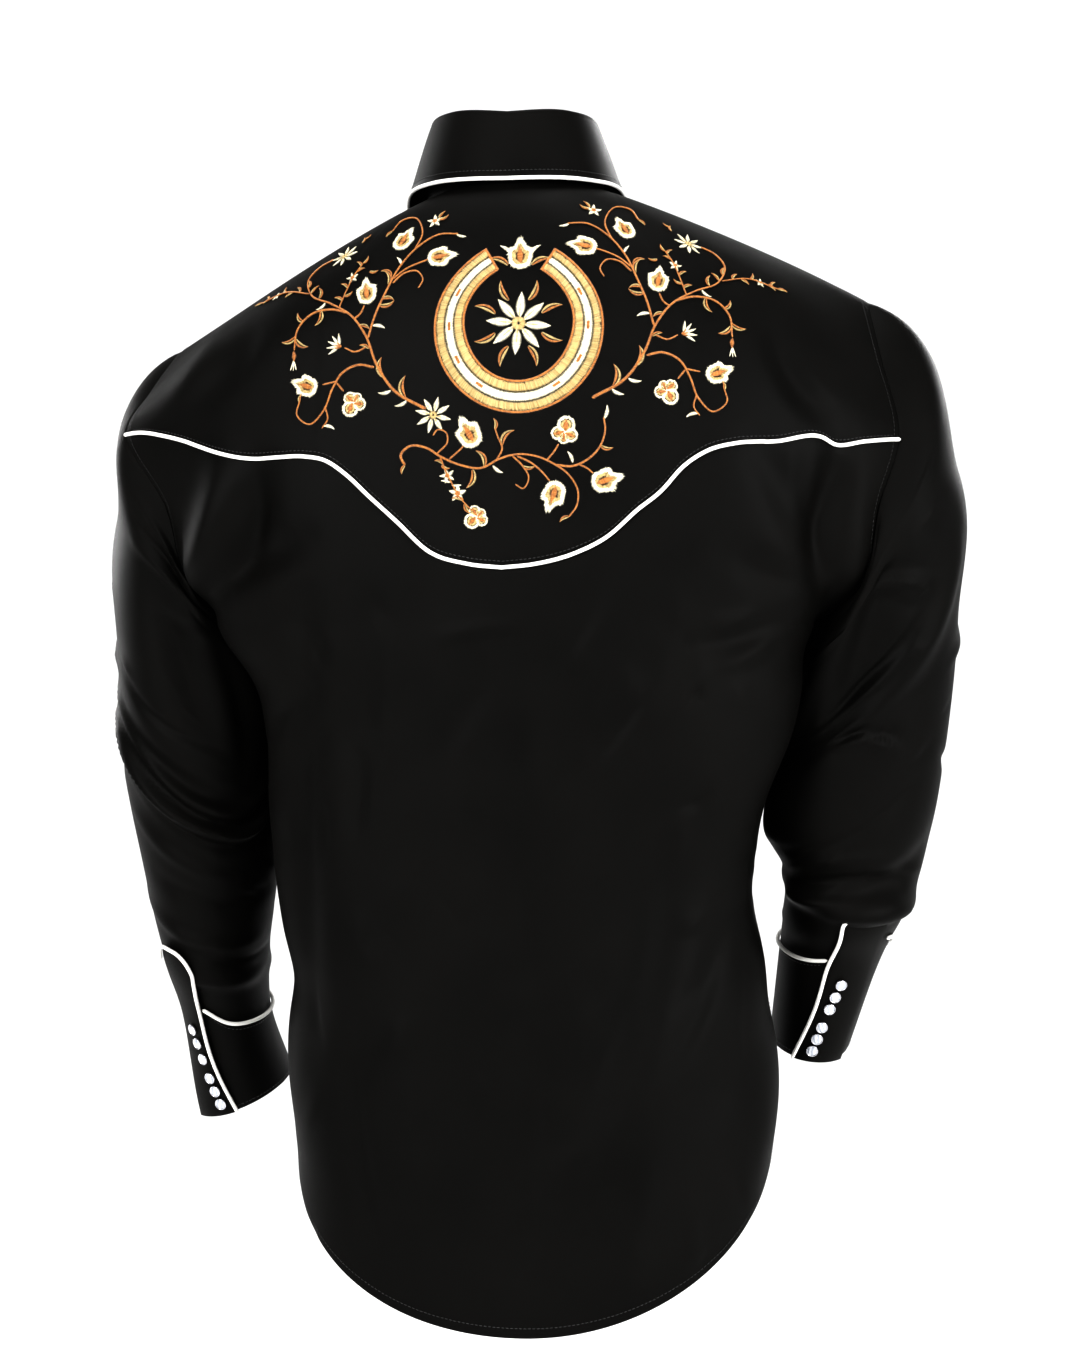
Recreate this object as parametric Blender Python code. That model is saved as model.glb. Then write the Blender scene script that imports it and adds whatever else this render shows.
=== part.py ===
"""A western snap shirt, worn: black cloth, a piped smile yoke, piped collar and long snap cuffs.

Metres, +Z up. The origin lies between the shoulders at the base of the neck, where the wearer carries
the shirt. The front faces -Y, the back +Y, and the wearer's left is +X.

Each panel is a smooth surface of two numbers, worked out from the short tables below. It becomes a
wall of cloth by carrying a flat grid of two layers onto that surface.
"""
import math
from typing import NamedTuple

import bmesh
import bpy
import numpy as np

# ---------------------------------------------------------------- driving sizes
CLOTH = 0.0015              # thickness of every wall of cloth
GAP = 0.0003                # least clearance between pieces that touch
LAID = 0.0007               # clearance under a piece that lies on a curved panel
PIPING_RADIUS = 0.0014
PLACKET_WIDTH = 0.036
STRIP_WIDTH = 0.034         # strip over a cuff
SNAP_RADIUS = 0.0043
SNAP_HEIGHT = 0.0021
NECK_HALF_WIDTH = 0.069     # the neckline seen from above is an ellipse
NECK_HALF_DEPTH = 0.067
NECK_OUT = 0.0025           # its centre, to the left
NECK_BACK = -0.004          # and to the back
COLLAR_HALF_WIDTH = 0.0570  # middle of the fold at the top of the collar
COLLAR_HALF_DEPTH = 0.0600
COLLAR_ROLL = 0.0029        # radius of that fold
EDGE = 0.0014               # how far a body panel stops short of its edge, as a share across
SEAM = 0.0009               # the same, as a share of a level
CUFF_SEAM = 0.0004          # and as a share of a sleeve's way
LIFT = LAID + CLOTH         # a strip's outer surface over the panel it lies on
LEFT, RIGHT = 1, -1

# counts of squares in the panels; seams that meet share their points
ARM_STEPS = 12              # from the shoulder tip to the armpit, on either face
SIDE_STEPS = 11             # from the armpit to the hem
YOKE_STEPS = 5              # of the arm steps, down to the yoke seam
NECK_COLUMNS = 4            # from the middle to the side of the neck
SHOULDER_COLUMNS = 9        # from there to the armhole


class Armhole(NamedTuple):
    """A point of an armhole seam. turn: 0 shoulder tip, 1 armpit by way of the back, 2 the tip again."""
    turn: float
    out: float
    back: float
    up: float


YOKE_TURN = YOKE_STEPS / ARM_STEPS      # where the yoke seam ends on the armhole
ARMHOLES = {
    LEFT: (
        Armhole(0.0, 0.241, -0.010, -0.110), Armhole(0.22, 0.259, 0.020, -0.141),
        Armhole(YOKE_TURN, 0.273, 0.036, -0.176), Armhole(0.60, 0.244, 0.046, -0.222),
        Armhole(0.80, 0.230, 0.038, -0.272), Armhole(1.0, 0.200, -0.006, -0.306),
        Armhole(1.2, 0.222, -0.050, -0.276), Armhole(1.42, 0.240, -0.066, -0.220),
        Armhole(1.62, 0.249, -0.056, -0.168), Armhole(1.8, 0.247, -0.036, -0.133),
    ),
    RIGHT: (
        Armhole(0.0, 0.245, -0.010, -0.080), Armhole(0.22, 0.254, 0.022, -0.122),
        Armhole(YOKE_TURN, 0.266, 0.040, -0.177), Armhole(0.60, 0.252, 0.050, -0.226),
        Armhole(0.80, 0.241, 0.040, -0.278), Armhole(1.0, 0.200, -0.006, -0.306),
        Armhole(1.2, 0.232, -0.050, -0.270), Armhole(1.42, 0.252, -0.066, -0.208),
        Armhole(1.62, 0.260, -0.056, -0.146), Armhole(1.8, 0.254, -0.036, -0.104),
    ),
}


class Side(NamedTuple):
    """A point of the side seam. level: 1 at the armpit, 2 at the hem."""
    level: float
    out: float
    back: float
    up: float


SIDE_SEAM = (
    Side(1.0, 0.200, -0.006, -0.306), Side(1.07, 0.184, -0.006, -0.330),
    Side(1.2, 0.171, -0.006, -0.382), Side(1.4, 0.163, -0.004, -0.462),
    Side(1.6, 0.161, -0.002, -0.530), Side(1.8, 0.168, 0.0, -0.592),
    Side(2.0, 0.164, 0.0, -0.650),
)


class Row(NamedTuple):
    """A row across the body: its middle, and the handles that bend it towards its two edges.

    level runs from -2 at the front's hem, through -1 beside the armpits and 0 along the shoulders, to
    1 beside the armpits behind and 2 at the back's hem.
    """
    level: float
    back: float         # the middle's place
    up: float
    reach: float        # length of the middle's handle
    pull_out: float     # the edge's handle, from the edge
    pull_back: float
    follow: float       # share of the middle's height in the edge's handle
    right_up: float     # how much higher the right edge's handle is


BODY_ROWS = (
    Row(-2.0, -0.114, -0.750, 0.098, 0.012, -0.084, 0.58, 0.0),
    Row(-1.7, -0.119, -0.620, 0.104, 0.016, -0.084, 0.56, 0.0),
    Row(-1.4, -0.122, -0.486, 0.106, 0.018, -0.082, 0.40, 0.0),
    Row(-1.15, -0.126, -0.380, 0.114, 0.028, -0.082, 0.20, 0.0),
    Row(-1.0, -0.129, -0.312, 0.124, 0.026, -0.080, 0.30, 0.0),
    Row(-0.8, -0.128, -0.238, 0.128, -0.012, -0.052, 0.40, 0.0),
    Row(-0.6, -0.122, -0.164, 0.126, -0.040, -0.042, 0.40, 0.0),
    Row(-0.4, -0.104, -0.096, 0.110, -0.064, -0.038, 0.40, 0.004),
    Row(-0.2, -0.062, -0.030, 0.060, -0.080, -0.022, 0.44, 0.007),
    Row(0.0, 0.004, 0.010, 0.030, -0.090, 0.004, 0.46, 0.008),
    Row(0.2, 0.066, -0.001, 0.050, -0.078, 0.028, 0.45, 0.007),
    Row(0.4, 0.101, -0.064, 0.110, -0.064, 0.044, 0.40, 0.004),
    Row(0.6, 0.117, -0.144, 0.128, -0.036, 0.046, 0.36, 0.0),
    Row(0.8, 0.123, -0.226, 0.130, -0.006, 0.054, 0.40, 0.0),
    Row(1.0, 0.124, -0.306, 0.126, 0.044, 0.086, 0.30, 0.0),
    Row(1.15, 0.122, -0.385, 0.118, 0.048, 0.088, 0.20, 0.0),
    Row(1.4, 0.117, -0.510, 0.108, 0.024, 0.086, 0.36, 0.0),
    Row(1.7, 0.116, -0.652, 0.104, 0.020, 0.086, 0.55, 0.005),
    Row(2.0, 0.113, -0.788, 0.098, 0.014, 0.084, 0.60, 0.014),
)

# sideways lean of the body below the armpits, which leaves the placket straight
SWAY_LEVELS = (1.0, 1.03, 1.12, 1.2, 1.3, 1.5, 1.6, 1.7, 1.9, 2.0)
SWAY = (0.0, -0.0003, -0.010, -0.009, -0.001, -0.001, -0.009, -0.009, -0.014, -0.013)


class Seam(NamedTuple):
    """Height of the yoke seam at a distance from the middle of the back, on the left and the right."""
    out: float
    up_left: float
    up_right: float


YOKE_SEAM = (
    Seam(0.0, -0.2690, -0.2690), Seam(0.023, -0.2665, -0.2665), Seam(0.050, -0.2575, -0.2590),
    Seam(0.071, -0.2380, -0.2480), Seam(0.091, -0.2200, -0.2300), Seam(0.106, -0.2060, -0.2180),
    Seam(0.121, -0.1960, -0.2012), Seam(0.136, -0.1930, -0.1910), Seam(0.156, -0.1930, -0.1852),
    Seam(0.184, -0.1923, -0.1832), Seam(0.213, -0.1838, -0.1796), Seam(0.224, -0.1798, -0.1839),
    Seam(0.242, -0.1750, -0.1818), Seam(0.258, -0.1722, -0.1800), Seam(0.290, -0.1760, -0.1790),
)


class Ring(NamedTuple):
    """A section of a sleeve: its outermost and innermost points, its depth and its forward tilt."""
    way: float          # 0 at the armhole, 1 at the cuff's hem
    outer: float
    outer_up: float
    inner: float
    inner_up: float
    back: float         # the middle of the section
    half_depth: float
    pitch: float        # how much lower the back of the section is than its middle


CUFF_WAY = 0.86             # where the cuff begins
CAP_SPREAD = {LEFT: 0.80, RIGHT: 0.84}                      # how much a sleeve's cap rounds out
LEAD = 0.55                 # how far a line down the sleeve leaves its armhole seam outwards, in radians
CAP_WAY = (0.90, 0.0, 0.42)                                 # which way it does, on the left
SLEEVE_RINGS = {
    LEFT: (
        Ring(0.16, 0.289, -0.230, 0.194, -0.342, -0.016, 0.058, 0.004),
        Ring(0.34, 0.290, -0.322, 0.181, -0.398, -0.022, 0.056, 0.004),
        Ring(0.50, 0.289, -0.395, 0.180, -0.450, -0.032, 0.056, 0.006),
        Ring(0.64, 0.277, -0.468, 0.182, -0.500, -0.044, 0.054, 0.010),
        Ring(0.77, 0.264, -0.533, 0.188, -0.548, -0.060, 0.052, 0.014),
        Ring(CUFF_WAY, 0.2510, -0.576, 0.189, -0.582, -0.072, 0.042, 0.012),
        Ring(1.0, 0.2440, -0.656, 0.177, -0.632, -0.098, 0.043, 0.012),
    ),
    RIGHT: (
        Ring(0.16, 0.308, -0.199, 0.204, -0.337, -0.007, 0.066, 0.004),
        Ring(0.34, 0.308, -0.300, 0.188, -0.388, -0.022, 0.056, 0.004),
        Ring(0.50, 0.302, -0.372, 0.172, -0.430, -0.032, 0.056, 0.006),
        Ring(0.56, 0.298, -0.402, 0.171, -0.450, -0.037, 0.056, 0.008),
        Ring(0.64, 0.292, -0.438, 0.184, -0.474, -0.044, 0.055, 0.010),
        Ring(0.77, 0.275, -0.500, 0.184, -0.512, -0.060, 0.054, 0.014),
        Ring(CUFF_WAY, 0.256, -0.538, 0.182, -0.530, -0.072, 0.044, 0.012),
        Ring(1.0, 0.231, -0.608, 0.174, -0.600, -0.098, 0.042, 0.012),
    ),
}


class Fold(NamedTuple):
    """A crease seen square on: a bowed line from one end to the other. height > 0 stands out."""
    start_out: float
    start_up: float
    end_out: float
    end_up: float
    bow: float          # sideways bulge of the line
    width: float
    height: float


# out is +X, so the wearer's right is negative
BACK_FOLDS = (
    Fold(-0.226, -0.190, -0.220, -0.300, 0.004, 0.013, -0.020),     # hollow behind the right arm
    Fold(-0.176, -0.088, -0.222, -0.172, 0.006, 0.012, -0.006),     # drag on the right shoulder
    Fold(-0.170, -0.186, -0.206, -0.268, -0.006, 0.014, -0.006),
    Fold(-0.156, -0.262, -0.212, -0.280, 0.004, 0.012, -0.005),
    Fold(0.196, -0.190, 0.232, -0.296, -0.008, 0.015, 0.010),       # V ridge behind the left arm
    Fold(0.170, -0.200, 0.212, -0.290, -0.012, 0.013, -0.013),
    Fold(0.138, -0.252, 0.192, -0.286, 0.006, 0.013, -0.008),
    Fold(0.137, -0.290, 0.134, -0.610, 0.004, 0.011, -0.005),       # long crease down the left
    Fold(-0.116, -0.430, -0.036, -0.676, -0.014, 0.019, -0.010),    # great drag line to the tail
    Fold(-0.128, -0.520, -0.052, -0.690, -0.010, 0.020, 0.009),
)
FRONT_FOLDS = (
    Fold(-0.226, -0.190, -0.218, -0.292, 0.004, 0.015, -0.018),
    Fold(0.226, -0.200, 0.216, -0.296, -0.004, 0.015, -0.018),
    Fold(-0.150, -0.250, -0.196, -0.300, 0.010, 0.016, -0.007),
    Fold(0.140, -0.254, 0.194, -0.300, -0.010, 0.016, -0.007),
    Fold(0.106, -0.360, 0.086, -0.700, 0.010, 0.020, 0.008),
    Fold(-0.112, -0.400, -0.078, -0.690, -0.010, 0.020, 0.007),
    Fold(0.140, -0.460, 0.118, -0.690, 0.006, 0.016, -0.006),
)


class Swag(NamedTuple):
    """A crease on a sleeve, in turns round the arm and way along it."""
    start_turn: float
    start_way: float
    end_turn: float
    end_way: float
    bow: float
    width: float
    height: float


TURN_AS_WAY = 0.34          # a turn counts as this much way, so that a crease is as wide both ways
SWAGS = {
    LEFT: (
        Swag(0.10, 0.44, 0.86, 0.50, 0.055, 0.026, 0.007),      # double swag at the elbow
        Swag(0.10, 0.39, 0.86, 0.44, 0.055, 0.024, -0.005),
        Swag(0.62, 0.12, 0.66, 0.40, 0.010, 0.040, -0.010),     # hollow behind the armpit
        Swag(1.15, 0.42, 1.85, 0.40, -0.040, 0.030, -0.007),
        Swag(0.20, 0.78, 0.95, 0.76, 0.012, 0.020, 0.004),
        Swag(1.05, 0.78, 1.80, 0.79, 0.010, 0.022, 0.005),
    ),
    RIGHT: (
        Swag(0.06, 0.75, 0.90, 0.77, 0.026, 0.024, 0.008),      # cloth resting on the cuff
        Swag(0.10, 0.68, 0.90, 0.70, 0.026, 0.024, -0.006),
        Swag(0.18, 0.22, 0.56, 0.42, 0.016, 0.030, 0.006),
        Swag(0.62, 0.10, 0.68, 0.40, 0.010, 0.040, -0.012),
        Swag(1.15, 0.40, 1.85, 0.38, -0.040, 0.030, -0.007),
        Swag(1.05, 0.78, 1.80, 0.79, 0.012, 0.022, 0.006),
    ),
}


class Strip(NamedTuple):
    """The round-topped strip over a cuff: where its middle lies round the arm, and where it starts."""
    top_turn: float
    hem_turn: float
    top_way: float
    round_way: float    # the way that its rounding takes


STRIPS = {LEFT: Strip(0.25, 0.36, 0.757, 0.030), RIGHT: Strip(0.35, 0.43, 0.778, 0.030)}
STRIP_LIFT = 0.0015 + CLOTH                                 # a strip's outer surface over the sleeve
SNAP_WAYS = (0.885, 0.9035, 0.922, 0.948, 0.9665, 0.985)      # snaps on a strip, two groups of three


class Collar(NamedTuple):
    """The collar's lines. turn: 0 at the middle of the back, 1 at the middle of the front."""
    turn: float
    fold_up: float
    edge_left: float    # height of the leaf's edge, on the left and the right
    edge_right: float
    flare: float        # how far the leaf's edge stands out from the fold


COLLAR = (
    Collar(0.0, 0.0475, 0.0005, 0.0005, 0.0180), Collar(0.25, 0.0500, 0.0015, 0.0025, 0.0180),
    Collar(0.5, 0.0430, -0.0040, -0.0010, 0.0190), Collar(0.62, 0.0300, -0.0180, -0.0130, 0.0250),
    Collar(0.75, 0.0130, -0.0480, -0.0430, 0.0390), Collar(0.9, -0.0100, -0.0950, -0.0930, 0.0500),
    Collar(1.0, -0.0170, -0.1040, -0.1040, 0.0530),
)
STAND_ENDS = (0.994, 1.012)  # where the stand's right and left ends stop; the right passes inside
LEAF_END = 0.945            # where the leaf stops, short of the middle of the front
FOLD = 0.2                  # the share of a leaf's drop that is its fold

FREE_EDGES = {LEFT: -0.050, RIGHT: -0.042}      # the fronts' free edges, as shares across
FRONT_COLUMNS = 4           # from a free edge to the side of the neck
SNAP_LEVELS = (-0.52, -0.76, -1.00, -1.24, -1.48, -1.72)    # snaps down the placket

MATERIALS = {
    "black_cloth": ((0.012, 0.012, 0.013, 1.0), 0.72),
    "white_piping": ((0.86, 0.85, 0.82, 1.0), 0.45),
    "pearl_snap": ((0.80, 0.81, 0.83, 1.0), 0.22),
}


# ---------------------------------------------------------------- curves through tables
def columns(table):
    """The table's columns as arrays, in order."""
    return [np.array(column, float) for column in zip(*table)]


def through(knots, values, at):
    """A smooth curve through the values: cubic pieces whose slope at a knot averages its two sides."""
    at = np.clip(np.asarray(at, float), knots[0], knots[-1])
    steps = np.diff(knots)
    rises = np.diff(values) / steps
    slopes = np.concatenate([
        rises[:1], (rises[:-1] * steps[1:] + rises[1:] * steps[:-1]) / (steps[1:] + steps[:-1]), rises[-1:]])
    piece = np.clip(np.searchsorted(knots, at, side="right") - 1, 0, len(steps) - 1)
    step = steps[piece]
    t = (at - knots[piece]) / step
    return (values[piece] * (1 + 2 * t) * (1 - t) ** 2 + slopes[piece] * step * t * (1 - t) ** 2
            + values[piece + 1] * t * t * (3 - 2 * t) + slopes[piece + 1] * step * t * t * (t - 1))


def stacked(x, y, z):
    return np.stack(np.broadcast_arrays(x, y, z), axis=-1)


def soft_step(low, high, at):
    t = np.clip((at - low) / (high - low), 0.0, 1.0)
    return t * t * (3 - 2 * t)


def unit(vectors):
    return vectors / np.maximum(np.linalg.norm(vectors, axis=-1, keepdims=True), 1e-12)


def outward(surface, a, b, sign=1):
    """Unit normal of surface(a, b), by stepping a little both ways."""
    step = 1e-4
    along_a = surface(a + step, b) - surface(a - step, b)
    along_b = surface(a, b + step) - surface(a, b - step)
    return unit(np.cross(along_a, along_b) * sign)


def relief(folds, x, y):
    """The sum of bowed creases. Each fades as a bell across its line, and towards its two ends."""
    total = np.zeros(np.shape(x))
    for start_x, start_y, end_x, end_y, bow, width, height in folds:
        run = np.array([end_x - start_x, end_y - start_y])
        sideways = np.array([-run[1], run[0]]) / np.hypot(*run)
        along = np.linspace(0.0, 1.0, 17)
        bulge = bow * 4 * along * (1 - along)
        line_x = start_x + run[0] * along + sideways[0] * bulge
        line_y = start_y + run[1] * along + sideways[1] * bulge
        apart = (x[..., None] - line_x) ** 2 + (y[..., None] - line_y) ** 2
        fade = np.sin(np.pi * (0.12 + 0.76 * along[np.argmin(apart, axis=-1)])) ** 1.5
        total += height * fade * np.exp(-np.min(apart, axis=-1) / width ** 2)
    return total


# ---------------------------------------------------------------- the body
def armhole(side, turn):
    """A point of one armhole seam, at any turn round it."""
    turns, out, back, up = columns(ARMHOLES[side])
    spread = np.concatenate([turns - 2, turns, turns + 2])
    place = np.mod(turn, 2.0)
    x, y, z = (through(spread, np.tile(column, 3), place) for column in (out, back, up))
    return stacked(side * x, y, z)


def body_edge(side, level):
    """The edge of the body: round the armhole to the armpits, and down the side seam below them."""
    levels, out, back, up = columns(SIDE_SEAM)
    low = np.maximum(np.abs(level), 1.0)
    on_side = stacked(side * through(levels, out, low), through(levels, back, low),
                      through(levels, up, low))
    return np.where((np.abs(level) < 1.0)[..., None], armhole(side, np.clip(level, -1.0, 1.0)), on_side)


def body_base(across, level):
    """The body without folds, as Bezier rows. across: -1 at the right edge, 1 at the left edge."""
    across, level = np.broadcast_arrays(np.asarray(across, float), np.asarray(level, float))
    levels, *shape = columns(BODY_ROWS)
    back, up, reach, pull_out, pull_back, follow, right_up = (
        through(levels, column, level) for column in shape)
    sway = through(np.array(SWAY_LEVELS), np.array(SWAY), np.abs(level))
    sway = sway * np.where(level < 0, across ** 2, 1.0)
    t = np.abs(across)[..., None]
    halves = []
    for side in (LEFT, RIGHT):
        edge = body_edge(side, level)
        middle = stacked(0.0, back, up)
        first = stacked(side * reach, back, up)
        lifted = right_up if side == RIGHT else 0.0
        second = stacked(edge[..., 0] + side * pull_out, edge[..., 1] + pull_back,
                         edge[..., 2] + follow * (up - edge[..., 2]) + lifted)
        halves.append(middle * (1 - t) ** 3 + 3 * first * t * (1 - t) ** 2
                      + 3 * second * t * t * (1 - t) + edge * t ** 3)
    placed = np.where((across >= 0)[..., None], halves[0], halves[1])
    return placed + stacked(sway, 0.0, 0.0)


def body(across, level):
    """The body with its folds, which die out at its seams."""
    base = body_base(across, level)
    height = np.where(level > 0, relief(BACK_FOLDS, base[..., 0], base[..., 2]),
                      relief(FRONT_FOLDS, base[..., 0], base[..., 2]))
    calm = (1 - soft_step(0.86, 0.99, np.abs(across))) * soft_step(0.02, 0.2, np.abs(level))
    return base + outward(body_base, across, level) * (height * calm)[..., None]


def armhole_lean(side, turn):
    """The direction that both walls share at the armhole, and how far they follow it.

    Where the body and the sleeve meet in a ridge, walls that each kept to their own normal would
    cross inside it. In the armpit they part, and keep their own.
    """
    level = np.where(turn > 1.0, turn - 2.0, turn)
    of_body = outward(body, side * (1 - EDGE) + 0 * level, level)
    of_sleeve = outward(lambda a, b: sleeve(side, a, b), turn, 0.002 + 0 * turn, -side)
    alike = np.sum(of_body * of_sleeve, axis=-1)
    return unit(of_body + of_sleeve), soft_step(-0.1, 0.3, alike)


def body_wall(across, level, depth):
    """A point of the body's wall, depth under its outer surface."""
    across, level, depth = np.broadcast_arrays(across, level, depth)
    normal = outward(body, across, level)
    at_edge = soft_step(0.985, 1 - EDGE, np.abs(across)) * (np.abs(level) < 1.0)
    for side in (LEFT, RIGHT):
        lean, share = armhole_lean(side, np.mod(np.clip(level, -1.0, 1.0), 2.0))
        share = (share * at_edge * (across * side > 0))[..., None]
        normal = unit(normal * (1 - share) + lean * share)
    return body(across, level) - normal * depth[..., None]


def outside_neck(point):
    """Above 0 outside the neckline's ellipse, seen from above."""
    return (((point[..., 0] - NECK_OUT) / NECK_HALF_WIDTH) ** 2
            + ((point[..., 1] - NECK_BACK) / NECK_HALF_DEPTH) ** 2) - 1.0


def halved(low, high, is_before):
    """The value between low and high where is_before(value) turns from true to false."""
    for _ in range(28):
        middle = (low + high) / 2
        before = is_before(middle)
        low = np.where(before, middle, low)
        high = np.where(before, high, middle)
    return (low + high) / 2


def neck_level(across, way):
    """The level where each column meets the neckline, way being 1 behind and -1 in front."""
    starts_inside = outside_neck(body_base(across, 0.0 * across)) < 0
    found = halved(np.zeros(np.shape(across)), np.full(np.shape(across), 0.6),
                   lambda level: outside_neck(body_base(across, way * level)) < 0)
    return way * np.where(starts_inside, found, 0.0)


def neck_corner(side):
    """How far across, along the shoulder, the neckline starts."""
    return float(halved(np.zeros(1), np.ones(1),
                        lambda across: outside_neck(body_base(side * across, 0.0 * across)) < 0)[0])


def yoke_level(across):
    """The level where each column of the back meets the yoke seam."""
    outs, up_left, up_right = columns(YOKE_SEAM)

    def above(level):
        point = body_base(across, level)
        out = np.abs(point[..., 0])
        seam = np.where(point[..., 0] >= 0, through(outs, up_left, out), through(outs, up_right, out))
        return point[..., 2] > seam
    found = halved(np.full(np.shape(across), 0.1), np.full(np.shape(across), 1.1), above)
    at_armhole = soft_step(0.90, 0.99, np.abs(across))
    return found + (YOKE_TURN - found) * at_armhole


# ---------------------------------------------------------------- the sleeves
def sleeve_base(side, turn, way):
    """A sleeve without folds: the armhole seam, drawn smoothly through the sections to the cuff's hem."""
    turn, way = np.broadcast_arrays(np.asarray(turn, float), np.asarray(way, float))
    angle = turn * np.pi
    sections = [armhole(side, turn)]
    for row in SLEEVE_RINGS[side]:
        round_arm = angle - LEAD * max(0.0, 1 - row.way / 0.5) * np.sin(angle)
        across, rise = (row.outer - row.inner) / 2, (row.outer_up - row.inner_up) / 2
        sections.append(stacked(side * (row.inner + across + across * np.cos(round_arm)),
                                row.back + row.half_depth * np.sin(round_arm),
                                row.inner_up + rise + rise * np.cos(round_arm)
                                - row.pitch * np.sin(round_arm)))
    knots = np.array([0.0] + [row.way for row in SLEEVE_RINGS[side]])
    steps = np.diff(knots)
    rises = [(after - before) / step for before, after, step in zip(sections, sections[1:], steps)]
    cap = CAP_SPREAD[side] * np.maximum(np.cos(angle), 0.0)[..., None]
    slopes = [rises[0] + cap * np.array(CAP_WAY) * np.array([side, 1, 1])]
    for before, after, step, next_step in zip(rises, rises[1:], steps, steps[1:]):
        slopes.append((before * next_step + after * step) / (step + next_step))
    slopes.append(rises[-1])
    total = np.zeros(turn.shape + (3,))
    for number, step in enumerate(steps):
        low, high = knots[number], knots[number + 1]
        first, last = number == 0, number == len(steps) - 1
        here = ((way >= low) | first) & ((way < high) | last)
        t = ((way - low) / step)[..., None]
        piece = (sections[number] * (1 + 2 * t) * (1 - t) ** 2 + slopes[number] * step * t * (1 - t) ** 2
                 + sections[number + 1] * t * t * (3 - 2 * t)
                 + slopes[number + 1] * step * t * t * (t - 1))
        total = np.where(here[..., None], piece, total)
    return total


def sleeve(side, turn, way):
    """A sleeve with its folds, which die out at the armhole and at the cuff."""
    turn, way = np.broadcast_arrays(np.asarray(turn, float), np.asarray(way, float))
    folds = [swag._replace(start_turn=swag.start_turn * TURN_AS_WAY, end_turn=swag.end_turn * TURN_AS_WAY)
             for swag in SWAGS[side]]
    round_arm = np.mod(turn, 2.0) * TURN_AS_WAY
    height = sum(relief(folds, round_arm + lap * TURN_AS_WAY, way) for lap in (-2, 0, 2))
    calm = soft_step(0.0, 0.12, way) * (1 - soft_step(CUFF_WAY - 0.09, CUFF_WAY - 0.05, way))

    def plain(a, b):
        return sleeve_base(side, a, b)
    return sleeve_base(side, turn, way) + outward(plain, turn, way, -side) * (height * calm)[..., None]


def sleeve_wall(side, turn, way, depth):
    """A point of a sleeve's wall, depth under its outer surface."""
    turn, way, depth = np.broadcast_arrays(turn, way, depth)
    normal = outward(lambda a, b: sleeve(side, a, b), turn, way, -side)
    lean, share = armhole_lean(side, np.mod(turn, 2.0))
    share = (share * (1 - soft_step(0.002, 0.02, way)))[..., None]
    normal = unit(normal * (1 - share) + lean * share)
    return sleeve(side, turn, way) - normal * depth[..., None]


def sleeve_start(side, turn):
    """The way that leaves a seam's clearance beside the armhole."""
    speed = np.linalg.norm(sleeve_base(side, turn, 0.01) - sleeve_base(side, turn, 0.0), axis=-1) / 0.01
    return (GAP + 0.0008) / speed


def strip_turn(side, way):
    """Where the middle of a cuff's strip lies round the arm."""
    strip = STRIPS[side]
    return strip.top_turn + (strip.hem_turn - strip.top_turn) * soft_step(0.88, 1.0, way)


def strip_half(side, way, rounding):
    """Half the width of a strip, in turns. rounding is 0 at the top's flat end and 1 past the round."""
    middle = strip_turn(side, way)
    for_a_turn = np.linalg.norm(sleeve_base(side, middle + 0.02, way)
                                - sleeve_base(side, middle - 0.02, way), axis=-1) / 0.04
    return (0.25 + 0.75 * rounding) * STRIP_WIDTH / 2 / for_a_turn


# ---------------------------------------------------------------- the collar
def collar_ring(turn, half_width, half_depth, up):
    """A point round the neck. turn: 0 at the middle of the back, 1 and -1 at the middle of the front."""
    angle = np.asarray(turn) * np.pi
    return stacked(NECK_OUT + half_width * np.sin(angle), NECK_BACK + half_depth * np.cos(angle), up)


def neckline_up(turn):
    """Height of the body's neckline at a turn round the neck."""
    spread = np.linspace(-neck_corner(RIGHT), neck_corner(LEFT), 61)
    points = np.concatenate([body_base(spread, neck_level(spread, way)) for way in (1, -1)])
    turns = np.arctan2((points[:, 0] - NECK_OUT) / NECK_HALF_WIDTH,
                       (points[:, 1] - NECK_BACK) / NECK_HALF_DEPTH) / np.pi
    order = np.argsort(turns)
    return np.interp((np.asarray(turn) + 1) % 2 - 1, turns[order], points[order, 2], period=2)


def stand_surface(turn, rise):
    """The collar stand: rise 0 at its foot inside the neckline, 1 inside the fold of the collar."""
    turns, fold_up, *_ = columns(COLLAR)
    foot = neckline_up(turn) - 0.004
    top = through(turns, fold_up, np.abs(turn)) - COLLAR_ROLL
    inset = 3.5 * CLOTH                                    # the body's wall leans inside the neckline
    foot_width, foot_depth = NECK_HALF_WIDTH - inset, NECK_HALF_DEPTH - inset
    half_width = foot_width + (COLLAR_HALF_WIDTH + CLOTH / 2 - foot_width) * rise
    half_depth = foot_depth + (COLLAR_HALF_DEPTH + CLOTH / 2 - foot_depth) * rise
    lap = (CLOTH + 3 * GAP) * soft_step(LEAF_END, STAND_ENDS[0], -turn)
    return collar_ring(turn, half_width - lap, half_depth - lap, foot + (top - foot) * rise)


def leaf_surface(turn, drop):
    """The collar leaf: drop runs over the fold, then down to the leaf's edge at 1."""
    turns, *lines = columns(COLLAR)
    top, left, right, out = (through(turns, line, np.abs(turn)) for line in lines)
    edge = np.where(turn > 0, left, right)
    roll = np.clip(drop / FOLD, 0.0, 1.0) * np.pi
    fall = np.clip((drop - FOLD) / (1 - FOLD), 0.0, 1.0)
    spread = -COLLAR_ROLL * np.cos(roll) + (out - COLLAR_ROLL) * fall ** 0.9
    up = top - COLLAR_ROLL + COLLAR_ROLL * np.sin(roll) + (edge - top + COLLAR_ROLL) * fall
    return collar_ring(turn, COLLAR_HALF_WIDTH + spread, COLLAR_HALF_DEPTH + spread, up)


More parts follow.
